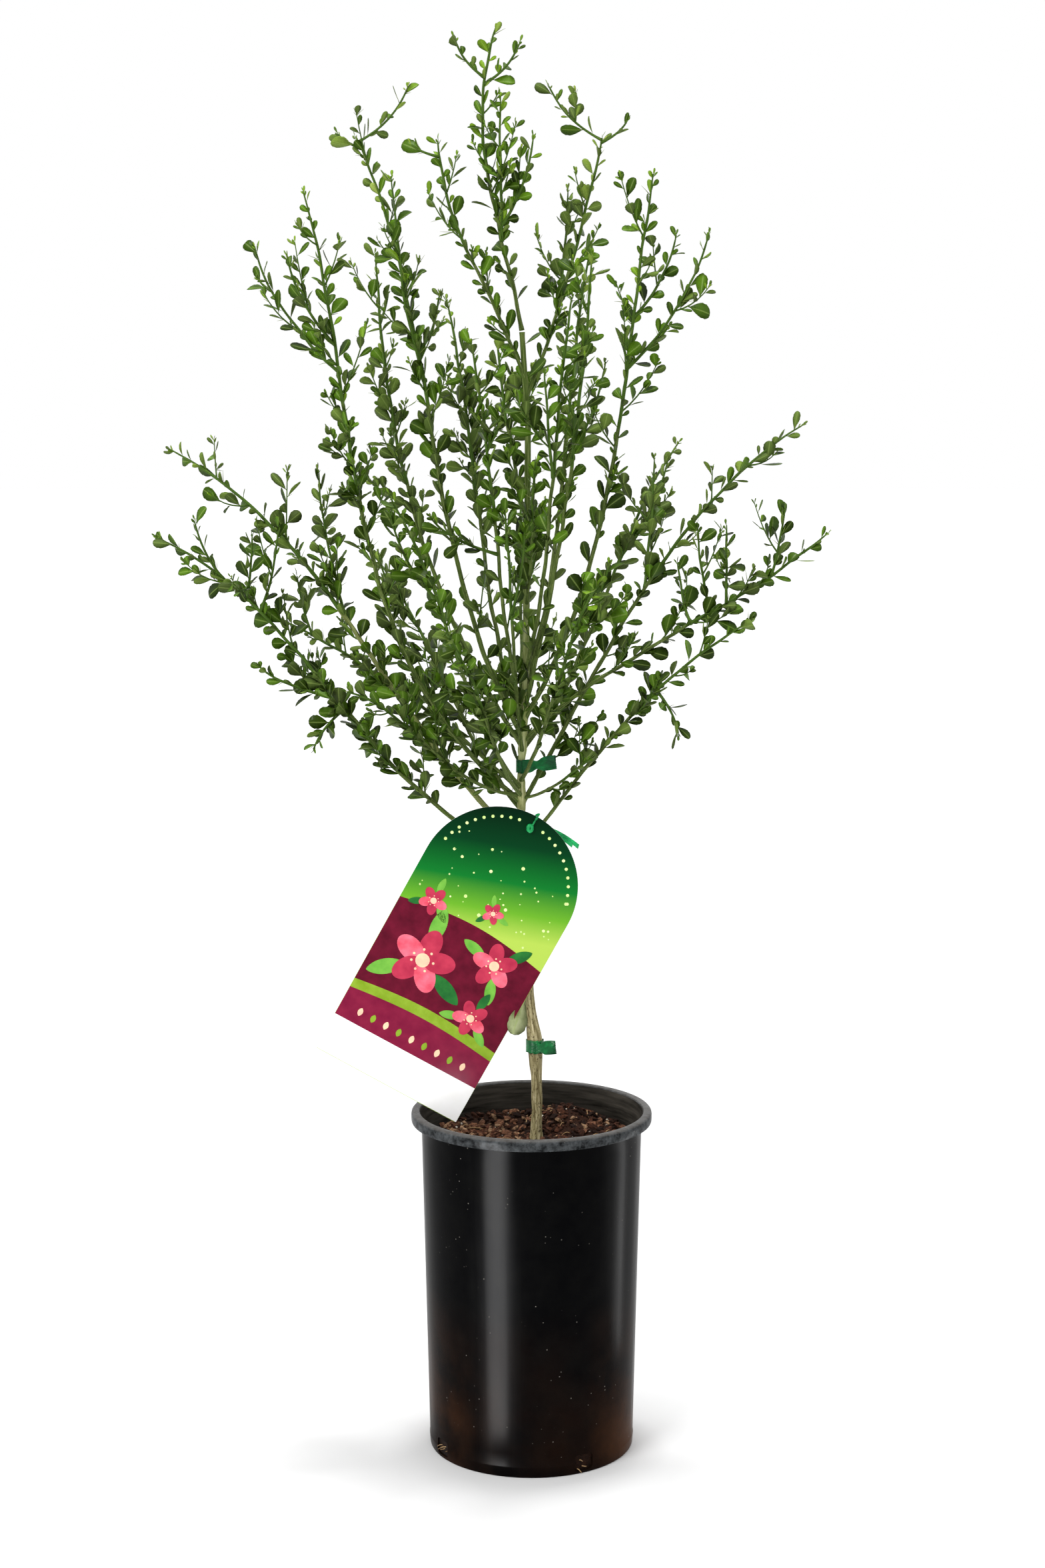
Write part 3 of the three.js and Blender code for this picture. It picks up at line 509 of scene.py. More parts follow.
def makePerlite(draw, edge):
    grains = []
    for _ in range(mixShape["perlite"]):
        size = between(mixShape["perliteSize"], draw())
        x, y, z = mixSpot(draw, edge - 3)
        grains.append(chipAt(draw, size, 0.85, 0))
        grains[-1]["points"] += (x, y, z + 0.5 * size)
    white = crumb("perlite", *mixLook["perlite"])
    makePiece("perliteGrains", joinParts(grains), [white], ["potting_mix"], smooth=False)


def makeFineRoots(draw, edge):
    roots = []
    along = np.linspace(0, 1, 12)
    for _ in range(mixShape["roots"]):
        x, y, _ = mixSpot(draw, edge - 16)
        heading, bend = 2 * math.pi * draw(), (draw() - 0.5) * 2.4
        length = between(mixShape["rootLength"], draw())
        angle = heading + bend * along
        px = x + np.cumsum(np.cos(angle)) * length / 12
        py = y + np.cumsum(np.sin(angle)) * length / 12
        far = np.maximum(np.hypot(px, py) / (edge - 3), 1)  # kept within the pot
        px, py = px / far, py / far
        pz = mixHeight(px, py) + 1.1 + 1.8 * np.sin(along * math.pi * (1 + draw()))
        roots.append(tube(asPoints(px, py, pz), np.interp(along, [0, 1], [0.45, 0.2]), 5))
    along = np.linspace(0, 1, 8)[:, None]
    slotted = [(slot, index) for slot, count in mixShape["slotRoots"].items() for index in range(count)]
    for slot, index in slotted:  # root ends that poke out of the front drainage slots
        heading = slot + (index - 2.5) * 1.5
        start = outward(heading) * (potShape["footRadius"] - 3) + np.array([0, 0, 4 + 9 * draw()])
        hang = outward(heading + (draw() - 0.5) * 60) * 5.5 + np.array([0, 0, -2.5 + 5.5 * draw()])
        lift = np.array([0, 0, 1]) * np.sin(along * math.pi) * 1.6 * (draw() - 0.3)
        roots.append(tube(start + hang * along + lift, np.linspace(0.6, 0.25, 8), 5))
    fibre = crumb("rootFibre", *mixLook["root"], 0.8)
    makePiece("fineRoots", joinParts(roots), [fibre], ["potting_mix"])


def makePottingMix():
    draw = seededDraw(907)
    edge = wallRadius(mixShape["level"]) - potShape["wall"] - mixShape["wallGap"]
    makeMixBed(edge)
    makeChips(draw, edge)
    makePerlite(draw, edge)
    makeFineRoots(draw, edge)


makePottingMix()
print("the potting mix is made")

trunkShape = {
    "stations": [  # height, lean to the right, radius
        (260.3, 4, 6.2), (266, 4, 4.9), (285, 4.5, 4.3), (318, 4, 4.6), (334, 3.3, 6), (347, 2.4, 6.2),
        (362, 0.2, 4.6), (385, -2, 3.7), (450, -4, 3.3), (520, -8, 3), (567, -9, 2.8), (628, -5, 2.75),
        (764, -4, 2.6), (849, -3, 2.4), (925, -8, 2.1)],
    "sides": 28, "step": 1.5, "ease": 9.0, "collar": (0.13, 3.2),  # where a limb leaves: how thick, how long
}
barkLook = {  # heights in metres
    "trunk": [(0.3, "#433824"), (0.42, "#726845"), (0.54, "#9a906a"), (0.7, "#c8bc98")],
    "fleck": "#3a2a18",
    "pale": [(0.3, "#4a5526"), (0.5, "#6f7a41"), (0.7, "#97996a")], "paleFleck": "#5b5a35",
    "upper": [(0.3, "#59632f"), (0.44, "#808a4f"), (0.58, "#a6ab7a"), (0.74, "#c4c69f")],
    "green": [(0.3, "#303d17"), (0.5, "#4c5f27"), (0.74, "#87915a")], "greenFleck": "#2c3118",
    "shoot": [(0.3, "#2b4010"), (0.55, "#43601b"), (0.8, "#70863d")],
    "thorn": [(0.3, "#4f6526"), (0.7, "#8c9a52")],
    "upperFrom": (0.45, 0.58), "leaderFrom": (0.63, 0.74),
}


def trunkAt(z):
    heights, leans, radii = np.array(trunkShape["stations"], float).T
    return np.array([np.interp(z, heights, leans), 0.0, z]), float(np.interp(z, heights, radii))


def barkMaterial(name, stops, fleck=None, rough=0.78, above=()):
    material, shader = newMaterial(name, rough, 0.12)
    lines = placeOf(material, (1.0, 1.0, 0.16), grain=True)
    streaks = cloud(material, lines, 3.6, 5, 0.62)
    colour = ramp(material, streaks, stops)
    if fleck:
        evenly = placeOf(material, grain=True)
        spots = spread(material, cloud(material, evenly, 3.1, 4, 0.6), 0.54, 0.64, 0, 0.85)
        colour = layered(material, colour, fleck, spots)
    for higher, heights in above:  # the bark turns green higher up
        share = spread(material, axes(material, placeOf(material))[2], *heights, 0, 1)
        colour = layered(material, colour, ramp(material, streaks, higher), share)
    feed(shader.inputs["Base Color"], colour)
    raised(material, shader, cloud(material, lines, 5.0, 5, 0.65), 0.55, 0.0009)
    return material


def barkRelief(ridge, lump):
    def relief(grain):
        return ridge * bumps(grain, 2.3, 0.28) + lump * bumps(grain + 7.7, 0.9, 0.9)
    return relief


def makeTrunk(limbHeights):
    stations, leans, girths = np.array(trunkShape["stations"], float).T
    heights = np.arange(stations[0] - 2.5, stations[-1] + 0.1, trunkShape["step"])
    window = int(trunkShape["ease"] / trunkShape["step"]) | 1
    kernel = np.hanning(window + 2)[1:-1]
    kernel /= kernel.sum()

    def eased(values):
        padded = np.concatenate([np.full(window // 2, values[0]), values, np.full(window // 2, values[-1])])
        return np.convolve(padded, kernel, "valid")

    path = asPoints(eased(np.interp(heights, stations, leans)), 0.0, heights)
    radii = eased(np.interp(heights, stations, girths))
    swell, reach = trunkShape["collar"]
    for height in limbHeights:
        radii = radii * (1 + swell * np.exp(-((heights - height) / reach) ** 2))
    part = tube(path, radii, trunkShape["sides"], np.array([1.0, 0, 0]), barkRelief(0.1, 0.1))
    above = [(barkLook["upper"], barkLook["upperFrom"]), (barkLook["green"], barkLook["leaderFrom"])]
    bark = barkMaterial("trunkBark", barkLook["trunk"], barkLook["fleck"], 0.82, above)
    makePiece("trunkBark", part, [bark], ["trunk"])


limbShape = {
    "tipRadius": 0.95, "forkTip": 0.7, "endShare": 0.6, "radiusPerLength": 1 / 520, "smallestBase": 1.12,
    "shareOfTrunk": 0.9, "forkRadius": 1.25, "forkOut": 0.75, "forkUp": 0.4, "sides": 9, "step": 2.6,
    "wander": 1.4, "youngFrom": 0.55,
    "flare": (0.4, 5), "nodeSwell": (0.07, 9.3),  # how thick, and how long or how far apart
    "pale": {"farLeftHigh"}, "girth": {"farLeftHigh": 1.25},
}

# name, height on the trunk, heading, reach, top, bow, sway, and for each fork its share of the way, its
# heading, reach and rise
limbTable = [
    ("farLeftLow", 497, 176, 300, 760, -0.12, 0.1,
     [(0.48, -123, 41, -29), (0.51, -159, 64, 28), (0.74, 25, 17, 70), (0.78, -76, 42, 53),
      (0.84, -139, 27, 48)]),
    ("rightLow", 505, -12, 185, 695, 0.04, 0.1, [(0.65, -61, 33, -32)]),
    ("farLeftHigh", 512, 170, 295, 830, -0.05, 0.13, [(0.53, 127, 43, 123)]),
    ("backLowLeft", 538, 125, 225, 735, -0.08, 0.06, [(0.7, 150, 40, 62)]),
    ("farRightHigh", 542, 15, 240, 850, 0.04, 0.13, [(0.52, 80, 54, 105)]),
    ("leftLowFront", 551, -145, 165, 645, -0.17, 0.08, []),
    ("frontLowLeft", 550, -105, 215, 700, -0.08, 0.08, [(0.72, -130, 35, 62)]),
    ("leftMid", 545, -165, 175, 1030, -0.21, -0.02, [(0.73, 165, 69, 98), (0.77, -138, 46, 66)]),
    ("rightThin", 548, -30, 65, 585, -0.14, -0.03, []),
    ("leftLowBack", 553, 155, 220, 685, 0.05, 0.06, [(0.89, -170, 13, 51)]),
    ("frontLeft", 556, -120, 195, 800, -0.1, 0.05, [(0.66, -150, 40, 70)]),
    ("backCentre", 560, 90, 220, 790, -0.08, 0.07, [(0.6, 60, 42, 85)]),
    ("frontLowRight", 562, -75, 220, 735, -0.06, 0.08, [(0.7, -45, 38, 60)]),
    ("leftBack", 590, 150, 140, 990, -0.12, -0.1, [(0.87, 75, 22, 27)]),
    ("leftTall", 598, 165, 140, 1080, -0.09, 0.06,
     [(0.62, -151, 25, 149), (0.64, 66, 41, 50), (0.99, 12, 41, 45), (0.98, -161, 19, 11)]),
    ("backRight", 588, 50, 210, 835, -0.1, 0.06, [(0.62, 25, 44, 80)]),
    ("frontMid", 586, -95, 150, 785, -0.1, 0.06, [(0.6, -70, 30, 70)]),
    ("farRightLow", 594, -5, 245, 765, 0.07, -0.04,
     [(0.56, 107, 33, 47), (0.62, 128, 17, 70), (0.67, -97, 26, 64), (0.81, -15, 10, 54)]),
    ("backLeftHigh", 602, 115, 155, 955, -0.12, 0.04, [(0.55, 95, 40, 95)]),
    ("centreFront", 606, -130, 65, 915, -0.04, 0.03, [(0.46, -146, 64, 31)]),
    ("rightMid", 613, -15, 105, 1045, -0.11, -0.02, [(0.66, -24, 68, 104), (0.75, 28, 39, 65)]),
    ("rightFront", 622, -55, 90, 980, -0.05, -0.05, []),
    ("backRightHigh", 642, 65, 130, 1000, -0.12, 0.04, [(0.5, 40, 45, 85)]),
    ("frontRightHigh", 652, -75, 135, 945, -0.12, 0.04, [(0.55, -100, 36, 80)]),
    ("spurFront", 705, -80, 42, 822, -0.1, 0.02, [(0.35, -160, 26, 40)]),
    ("centreBack", 770, 120, 50, 920, -0.04, -0.04, []),
    ("rightTall", 872, 35, 75, 1080, -0.04, -0.03,
     [(0.33, 77, 44, 102), (0.99, 171, 44, 44), (0.98, -40, 27, 16)]),
    ("topLeft", 885, -155, 75, 1070, 0.02, -0.12, [(0.94, -170, 22, 9)]),
    ("top", 925, 180, 20, 1160, -0.03, -0.15,
     [(0.3, -100, 9, 112), (0.34, -37, 34, 70), (0.82, 25, 31, 34), (0.84, -153, 27, 29)]),
]
curveShares = np.linspace(0, 1, 61)


def limbControls(height, heading, reach, top, bow, sway):
    base, _ = trunkAt(height)
    rise = top - height
    length = math.hypot(reach, rise)
    chord = outward(heading) * reach + np.array([0, 0, rise])
    lift = outward(heading) * (-rise / length) + np.array([0, 0, reach / length])
    return [base, base + chord / 3 + lift * bow * length, base + chord * 2 / 3 + lift * sway * length,
            base + chord]


def makeShoot(controls, heading, base, tip, kind, limb, start):  # start is where its first leaf may stand
    path = np.array([curvePoint(controls, share) for share in curveShares])
    lengths = np.concatenate([[0], np.cumsum(np.linalg.norm(np.diff(path, axis=0), axis=1))])
    return {"controls": controls, "level": outward(heading - 90), "lengths": lengths,
            "length": float(lengths[-1]), "radius": (base, tip), "kind": kind, "limb": limb, "start": start}


def shootAt(shoot, distance):
    share = float(np.interp(distance, shoot["lengths"], curveShares))
    point = curvePoint(shoot["controls"], share)
    ahead = curvePoint(shoot["controls"], min(share + 0.01, 1.0))
    behind = curvePoint(shoot["controls"], max(share - 0.01, 0.0))
    return point, unit(ahead - behind), between(shoot["radius"], share), share


def standingOff(shoot, tangent, turn, tilt):
    upper = -np.cross(tangent, shoot["level"])
    spoke = shoot["level"] * math.cos(turn) + upper * math.sin(turn)
    return tangent * math.cos(tilt) + spoke * math.sin(tilt)


def growLimbs():
    shoots = []
    tip = limbShape["tipRadius"]
    for name, height, heading, reach, top, bow, sway, forks in limbTable:
        controls = limbControls(height, heading, reach, top, bow, sway)
        grown = limbShape["smallestBase"] + math.hypot(reach, top - height) * limbShape["radiusPerLength"]
        grown *= limbShape["girth"].get(name, 1)
        base = min(grown, trunkAt(height)[1] * limbShape["shareOfTrunk"])
        shoots.append(makeShoot(controls, heading, base, tip, "stem", name, crown["clearOfTrunk"]))
        for at, forkHeading, forkReach, forkRise in forks:
            foot = curvePoint(controls, at)
            chord = outward(forkHeading) * forkReach + np.array([0, 0, forkRise])
            bend = foot + chord * np.array([limbShape["forkOut"], limbShape["forkOut"], limbShape["forkUp"]])
            forkBase = min(between((base, tip), at), limbShape["forkRadius"])
            shoots.append(makeShoot([foot, bend, foot + chord], forkHeading, forkBase, limbShape["forkTip"],
                                    "fork", name, crown["clearOfStem"]))
    return shoots


def makeBoughs(shoots, nodes, barks):
    flare, flareReach = limbShape["flare"]
    swell, swellEvery = limbShape["nodeSwell"]
    limbs = []
    for index, shoot in enumerate(shoots):
        steps = max(6, int(shoot["length"] / limbShape["step"]))
        shares, away = np.linspace(0, 1, steps + 1), np.linspace(0, shoot["length"], steps + 1)
        path = np.array([curvePoint(shoot["controls"], share) for share in shares])
        wander = np.stack([bumps(path + k * 31, 0.035) for k in range(3)], -1)
        path = path + wander * np.clip(away / 40, 0, 1)[:, None] * limbShape["wander"]
        base, tip = shoot["radius"]
        radii = (tip + (base - tip) * (1 - shares ** 1.4)) * (1 + flare * np.exp(-away / flareReach))
        radii = radii * np.interp(shares, [0, 0.92, 1], [1, 1, limbShape["endShare"]])
        radii = radii * (1 + swell * np.maximum(0, np.sin(away * 2 * math.pi / swellEvery)) ** 4)
        part = tube(path, radii, limbShape["sides"], shoot["level"], barkRelief(0.07, 0.07), index * 400.0)
        corner = part["points"][part["faces"][:, 0]]
        far = np.linalg.norm(corner - path[0], axis=1) / max(shoot["length"], 1)
        young = (far > limbShape["youngFrom"]) | (shoot["kind"] == "fork")
        part["slots"] = np.where(young, 2, 0 if shoot["limb"] in limbShape["pale"] else 1)
        limbs.append(part)
    makePiece("boughBark", joinParts(limbs), barks, nodes)


crown = {
    "seed": 61, "lowest": 524.0, "highest": 1166.0, "clearOfTrunk": 17.0, "clearOfStem": 5.0,
    "tagHead": ((-28, 476), 77),  # kept clear: its middle in x and z, and how far round it
    "tieWindow": ((-24, 27), (562, 596), 3),  # kept clear: from and to in x and in z, and how far back
    "highFrom": 620.0, "highOver": 500.0,  # the low crown gives way to the light top over these heights
}
spacing = {  # how far apart the growth stands in each zone of the crown, against 1 elsewhere
    "footBelow": 640.0, "footBeyond": 52.0, "footShare": 0.6, "footInside": 1.3,
    "midZone": ((-172, 12), (742, 885)), "midShare": 0.5,
    # open round the trunk: so far to its left and right
    "thinBelow": 745.0, "thinWithin": (88, 58), "thinDepth": 0.8, "thinShare": 3.5,
    "thickBelow": 740.0, "thickBeyond": 80.0, "thickShare": 0.82,
    "topLimbs": {"top", "topLeft"}, "topShare": 0.76,
}


def isKeptClear(point):  # nothing grows in front of the high tie, round the tag's head or below the crown
    (left, right), (low, high), back = crown["tieWindow"]
    if left < point[0] < right and low < point[2] < high and point[1] < back:
        return True
    (x, z), reach = crown["tagHead"]
    return point[2] < crown["lowest"] or math.hypot(point[0] - x, point[2] - z) < reach


def spacingAt(shoot, point):
    room = spacing
    away = math.hypot(point[0], point[1])
    if point[2] < room["footBelow"]:
        return room["footShare"] if away > room["footBeyond"] else room["footInside"]
    (left, right), (low, high) = room["midZone"]
    if left < point[0] < right and low < point[2] < high:
        return room["midShare"]
    near = math.hypot(point[0], point[1] * room["thinDepth"])
    if point[2] < room["thinBelow"] and near < room["thinWithin"][0 if point[0] < 0 else 1]:
        return room["thinShare"]
    if point[2] < room["thickBelow"] and away > room["thickBeyond"]:
        return room["thickShare"]
    return room["topShare"] if shoot["limb"] in room["topLimbs"] else 1.0


twigShape = {
    "every": 40.0, "tilt": (34, 58), "length": (14, 58), "lift": 0.42, "base": 0.8, "tip": 0.4, "freeTip": 34,
    "sideShare": 0.3, "sideFrom": 24, "sideTilt": 50,
}


def growTwigs(shoots):
    draw = seededDraw(crown["seed"])
    base, tip = twigShape["base"], twigShape["tip"]
    twigs = []
    for shoot in shoots:
        limb = shoot["limb"]
        place = max(shoot["start"], 8.0) + twigShape["every"] * (0.2 + 0.5 * draw())
        while place < shoot["length"] - twigShape["freeTip"]:
            point, tangent, radius, share = shootAt(shoot, place)
            turn = math.radians(len(twigs) * goldenAngle + 70 * draw())
            along = standingOff(shoot, tangent, turn, math.radians(between(twigShape["tilt"], draw())))
            length = between(twigShape["length"], draw() ** 1.3) * (1 - 0.35 * share)
            end = point + along * length + np.array([0, 0, length * twigShape["lift"]])
            place += twigShape["every"] * (0.7 + 0.6 * draw()) * spacingAt(shoot, point)
            if isKeptClear(point) or isKeptClear(end) or end[2] > crown["highest"] - 12:
                continue
            controls = [point, point + along * length * 0.6, end]
            heading = math.degrees(math.atan2(along[1], along[0]))
            twigs.append(makeShoot(controls, heading, min(base, radius * 0.85), tip, "twig", limb, 3.0))
            if length > twigShape["sideFrom"] and draw() < twigShape["sideShare"]:
                foot, onward, _, _ = shootAt(twigs[-1], length * 0.45)
                side = standingOff(twigs[-1], onward, turn + 2.2, math.radians(twigShape["sideTilt"]))
                sideEnd = foot + side * length * 0.42 + np.array([0, 0, length * 0.16])
                if not isKeptClear(sideEnd):
                    controls = [foot, foot + side * length * 0.26, sideEnd]
                    twigs.append(makeShoot(controls, heading, base * 0.75, tip, "twig", limb, 2.5))
    return twigs


thornShape = {"share": 0.3, "length": (4.5, 12), "radius": 0.42, "tilt": 58}
leafShape = {
    "every": 7.6, "everyOnTwigs": 6.9, "tilt": (28, 60), "length": (9.7, 20.9), "smallerHigh": 0.16,
    "smallerAtTip": 0.22, "secondShare": 0.3, "secondSize": (0.5, 0.85),
    "youngCount": 4, "youngLength": (3.2, 6.5), "youngSlender": 0.85,
    "broad": (0.54, 0.74), "slender": (0.34, 0.46), "slenderShare": 0.26, "slenderHigh": 0.32,
    "narrowerHigh": 0.08, "turn": 1.5, "fold": (0.1, 0.5), "curl": (-0.16, 0.26), "thickness": 0.36,
    # the blades face outward, forward or back, and up to the light
    "leanOut": 0.004, "leanForward": -0.55, "leanBack": 0.45, "leanUp": 0.55,
    # how pale a leaf is, in steps of the leaf tones: low down, and what the top and a shoot's end add
    "fresh": 0.75, "freshHigh": 1.1, "freshStemTip": 1.2, "freshSideTip": 0.8, "freshSpread": 2.3,
    "leaderFrom": 640.0, "leaderTo": 924.0, "leaderEvery": 13.0,
}
# share of the leaf's length and share of its half width, from the stalk to the notched round tip
leafOutline = [(0, 0.08), (0.09, 0.09), (0.2, 0.34), (0.34, 0.64), (0.48, 0.87), (0.6, 1.0), (0.69, 0.94),
               (0.78, 0.97), (0.87, 0.79), (0.95, 0.58), (1.0, 0.22)]
leafTones = {  # the two tones of the upper side, and the under side
    "leavesDeep": ("#253609", "#31450c", "#415023"),
    "leavesDark": ("#324a0d", "#3f5c11", "#4d6029"),
    "leavesGreen": ("#436113", "#527617", "#5e7430"),
    "leavesBright": ("#5f801b", "#739721", "#768e39"),
    "leavesYoung": ("#809d2a", "#97b138", "#92a64d"),
}
leafVein = {"tone": "#93a85a", "share": 0.34}
trunkLeaf = {"root": (-5.0, -2.0, 380.0), "tip": (-17.5, -5.0, 352.5), "lean": (0.5, -0.8, 0.3),
             "width": 0.6, "fold": 0.3, "curl": 0.12, "tones": ("#66743f", "#a9b184")}


def highShare(z):
    return float(np.clip((z - crown["highFrom"]) / crown["highOver"], 0, 1))


def growLeaves(shoots):
    draw = seededDraw(crown["seed"] + 500)
    leaves, thorns = [], []

    def addLeaf(root, along, length, freshness, slenderShare=leafShape["slenderShare"]):
        high = highShare(root[2])
        widths = leafShape["slender" if draw() < slenderShare + leafShape["slenderHigh"] * high else "broad"]
        width = between(widths, draw()) * (1 - leafShape["narrowerHigh"] * high)
        lean = np.array([draw() - 0.5, draw() - 0.5, draw() - 0.5]) * leafShape["turn"]
        depth = leafShape["leanForward" if root[1] < 30 else "leanBack"]
        lean += [leafShape["leanOut"] * root[0], depth, leafShape["leanUp"]]
        kind = int(np.clip(freshness + (draw() - 0.5) * leafShape["freshSpread"], 0, len(leafTones) - 0.01))
        tip = root + along * length
        if isKeptClear(root) or isKeptClear(tip) or tip[2] > crown["highest"]:
            return
        fold, curl = between(leafShape["fold"], draw()), between(leafShape["curl"], draw())
        leaves.append({"kind": kind, "root": root, "along": unit(along), "lean": lean, "length": length,
                       "width": width, "fold": fold, "curl": curl})

    for number, shoot in enumerate(shoots):
        every = leafShape["everyOnTwigs"] if shoot["kind"] == "twig" else leafShape["every"]
        place, count = shoot["start"] + every * draw(), 0
        while place < shoot["length"] - 2:
            point, tangent, radius, share = shootAt(shoot, place)
            turn = math.radians(count * goldenAngle + number * 77 + 50 * draw())
            tilt = math.radians(between(leafShape["tilt"], draw()))
            along = standingOff(shoot, tangent, turn, tilt)
            high = highShare(point[2])
            freshness = leafShape["fresh"] + leafShape["freshHigh"] * high
            if shoot["kind"] == "stem":
                freshness += leafShape["freshStemTip"] * share ** 2
            else:
                freshness += leafShape["freshSideTip"] * share
            size = between(leafShape["length"], draw() ** 1.25)
            size *= 1 - leafShape["smallerHigh"] * share * high
            size *= 1 - leafShape["smallerAtTip"] * share ** 3
            addLeaf(point + along * radius * 0.7, along, size, freshness)
            if draw() < leafShape["secondShare"]:
                along = standingOff(shoot, tangent, turn + 0.9 + draw(), tilt * 0.8)
                size *= between(leafShape["secondSize"], draw())
                addLeaf(point + along * radius * 0.7, along, size, freshness + 0.5)
            if draw() < thornShape["share"]:
                spike = standingOff(shoot, tangent, turn - 0.5, math.radians(thornShape["tilt"]))
                length = between(thornShape["length"], draw())
                if not isKeptClear(point + spike * length):
                    thick = min(thornShape["radius"], radius * 0.8)
                    thorns.append((point, point + spike * (radius + length), thick))
            place += every * (0.75 + 0.5 * draw()) * (0.3 + 0.7 * spacingAt(shoot, point))
            count += 1
        end, tangent, _, _ = shootAt(shoot, shoot["length"])
        for index in range(leafShape["youngCount"]):  # the small crowded leaves of a growing tip
            along = standingOff(shoot, tangent, index * 2.4 + draw(), math.radians(14 + 16 * index * draw()))
            small = between(leafShape["youngLength"], draw())
            freshness = 1.9 + 1.4 * highShare(end[2])
            addLeaf(end - tangent * index * 1.3, along, small, freshness, leafShape["youngSlender"])
    # leaves that sit on the leader itself
    for height in np.arange(leafShape["leaderFrom"], leafShape["leaderTo"], leafShape["leaderEvery"]):
        centre, radius = trunkAt(float(height))
        along = unit(outward(height * 41.0) * 0.8 + np.array([0, 0, 0.35 + 0.4 * draw()]))
        addLeaf(centre + along * radius * 0.8, along, between(leafShape["length"], draw()), 1.4)
    return leaves, thorns


def leafPart(leaves):
    # every leaf is a closed thin blade of rows: left edge, upper midrib, right edge, lower midrib
    rows = np.array(leafOutline)
    count, n = len(leaves), len(rows)
    root, along, lean = (np.array([leaf[key] for leaf in leaves]) for key in ("root", "along", "lean"))
    length, width, fold, curl = (np.array([leaf[key] for leaf in leaves])[:, None]
                                 for key in ("length", "width", "fold", "curl"))
    side = np.cross(lean, along)
    side /= np.linalg.norm(side, axis=1)[:, None]
    up = np.cross(along, side)
    t, w = rows[None, :, 0], rows[None, :, 1]
    half = np.maximum(w * length * width / 2, 0.24)
    rise = curl * length * (t ** 2) * 1.1
    edge = rise + half * fold
    body = np.clip(np.sin(np.clip(t, 0, 1) * math.pi) * 0.5 + 0.35, 0, 1) * leafShape["thickness"] / 2
    ahead = np.broadcast_to(t * length, half.shape)
    midrib = ahead - np.where(t >= 0.99, length * 0.035, 0)  # the tip is notched

    def place(*amounts):  # forward, across and up
        ways = [way[:, None, :] * amount[..., None] for way, amount in zip((along, side, up), amounts)]
        return root[:, None, :] + ways[0] + ways[1] + ways[2]

    zero = np.zeros_like(half)
    grid = np.stack([place(ahead, half, edge), place(midrib, zero, rise + body),
                     place(ahead, -half, edge), place(midrib, zero, rise - body)], 2)
    base = (np.arange(count) * n * 4)[:, None, None]
    row = (np.arange(n - 1) * 4)[None, :, None]
    blocks = []
    for a, b, under in ((0, 1, 0), (1, 2, 0), (2, 3, 1), (3, 0, 1)):
        for corners in ((a, b + 4, a + 4), (a, b, b + 4)):
            blocks.append((base + row + np.array(corners)[None, None, :], under))
    last = (n - 1) * 4
    for first, corners in ((0, (0, 2, 1)), (0, (0, 3, 2)), (last, (0, 1, 2)), (last, (0, 2, 3))):
        blocks.append((base + first + np.array(corners)[None, None, :], 1))
    faces = [block.reshape(-1, 3) for block, _ in blocks]
    slots = [np.full(len(block), under) for block, (_, under) in zip(faces, blocks)]
    own = np.array([leaf["curl"] * 97 % 1 for leaf in leaves])[:, None, None]  # each leaf's own number
    grain = asPoints(np.array([-1.0, 0.0, 1.0, 0.0]), t[..., None], own)
    return {"points": grid.reshape(-1, 3), "faces": np.concatenate(faces), "slots": np.concatenate(slots),
            "grain": grain.reshape(-1, 3)}


def leafMaterial(name, dark, light, rough, bumpy):
    material, shader = newMaterial(name, rough, 0.08)
    across, _, own = axes(material, placeOf(material, grain=True))
    place = placeOf(material)
    patches = spread(material, cloud(material, place, 75, 3), 0, 1, -0.15, 0.85)
    patches = reckon(material, "MULTIPLY_ADD", own, 0.3, patches)
    colour = ramp(material, patches, [(0.34, dark), (0.66, light)])
    rib = spread(material, reckon(material, "ABSOLUTE", across), 0.05, 0.12, leafVein["share"], 0)
    feed(shader.inputs["Base Color"], layered(material, colour, leafVein["tone"], rib))
    raised(material, shader, cloud(material, place, 620, 3), bumpy, 0.0005)
    return material


def makeTwigs(twigs, nodes, bark):
    parts = [tube([curvePoint(twig["controls"], share) for share in np.linspace(0, 1, 6)],
                  np.linspace(*twig["radius"], 6), 5, twig["level"], grainStart=index * 300.0)
             for index, twig in enumerate(twigs)]
    makePiece("fineTwigs", joinParts(parts), [bark], nodes)


def makeThorns(thorns, nodes):
    parts = [tube([foot, (foot + point) / 2 + np.array([0, 0, 0.2]), point], [radius, radius * 0.6, 0.08], 4,
                  grainStart=index * 30.0) for index, (foot, point, radius) in enumerate(thorns)]
    bark = barkMaterial("thornBark", barkLook["thorn"], None, 0.55)
    makePiece("thorns", joinParts(parts), [bark], nodes)


def makeLeaves(leaves, nodes):
    for number, (kind, (dark, light, under)) in enumerate(leafTones.items()):
        materials = [leafMaterial(f"{kind}Upper", dark, light, 0.36, 0.25),
                     leafMaterial(f"{kind}Under", under, under, 0.6, 0.15)]
        part = leafPart([leaf for leaf in leaves if leaf["kind"] == number])
        makePiece(kind, part, materials, nodes)


def makeFadedLeaf(nodes):  # the one that hangs on the trunk
    root, tip, lean = (np.array(trunkLeaf[key]) for key in ("root", "tip", "lean"))
    blade = {**trunkLeaf, "root": root, "along": unit(tip - root), "lean": lean,
             "length": float(np.linalg.norm(tip - root))}
    faded = leafMaterial("fadedLeaf", *trunkLeaf["tones"], 0.6, 0.3)
    makePiece("fadedTrunkLeaf", leafPart([blade]), [faded, faded], nodes)


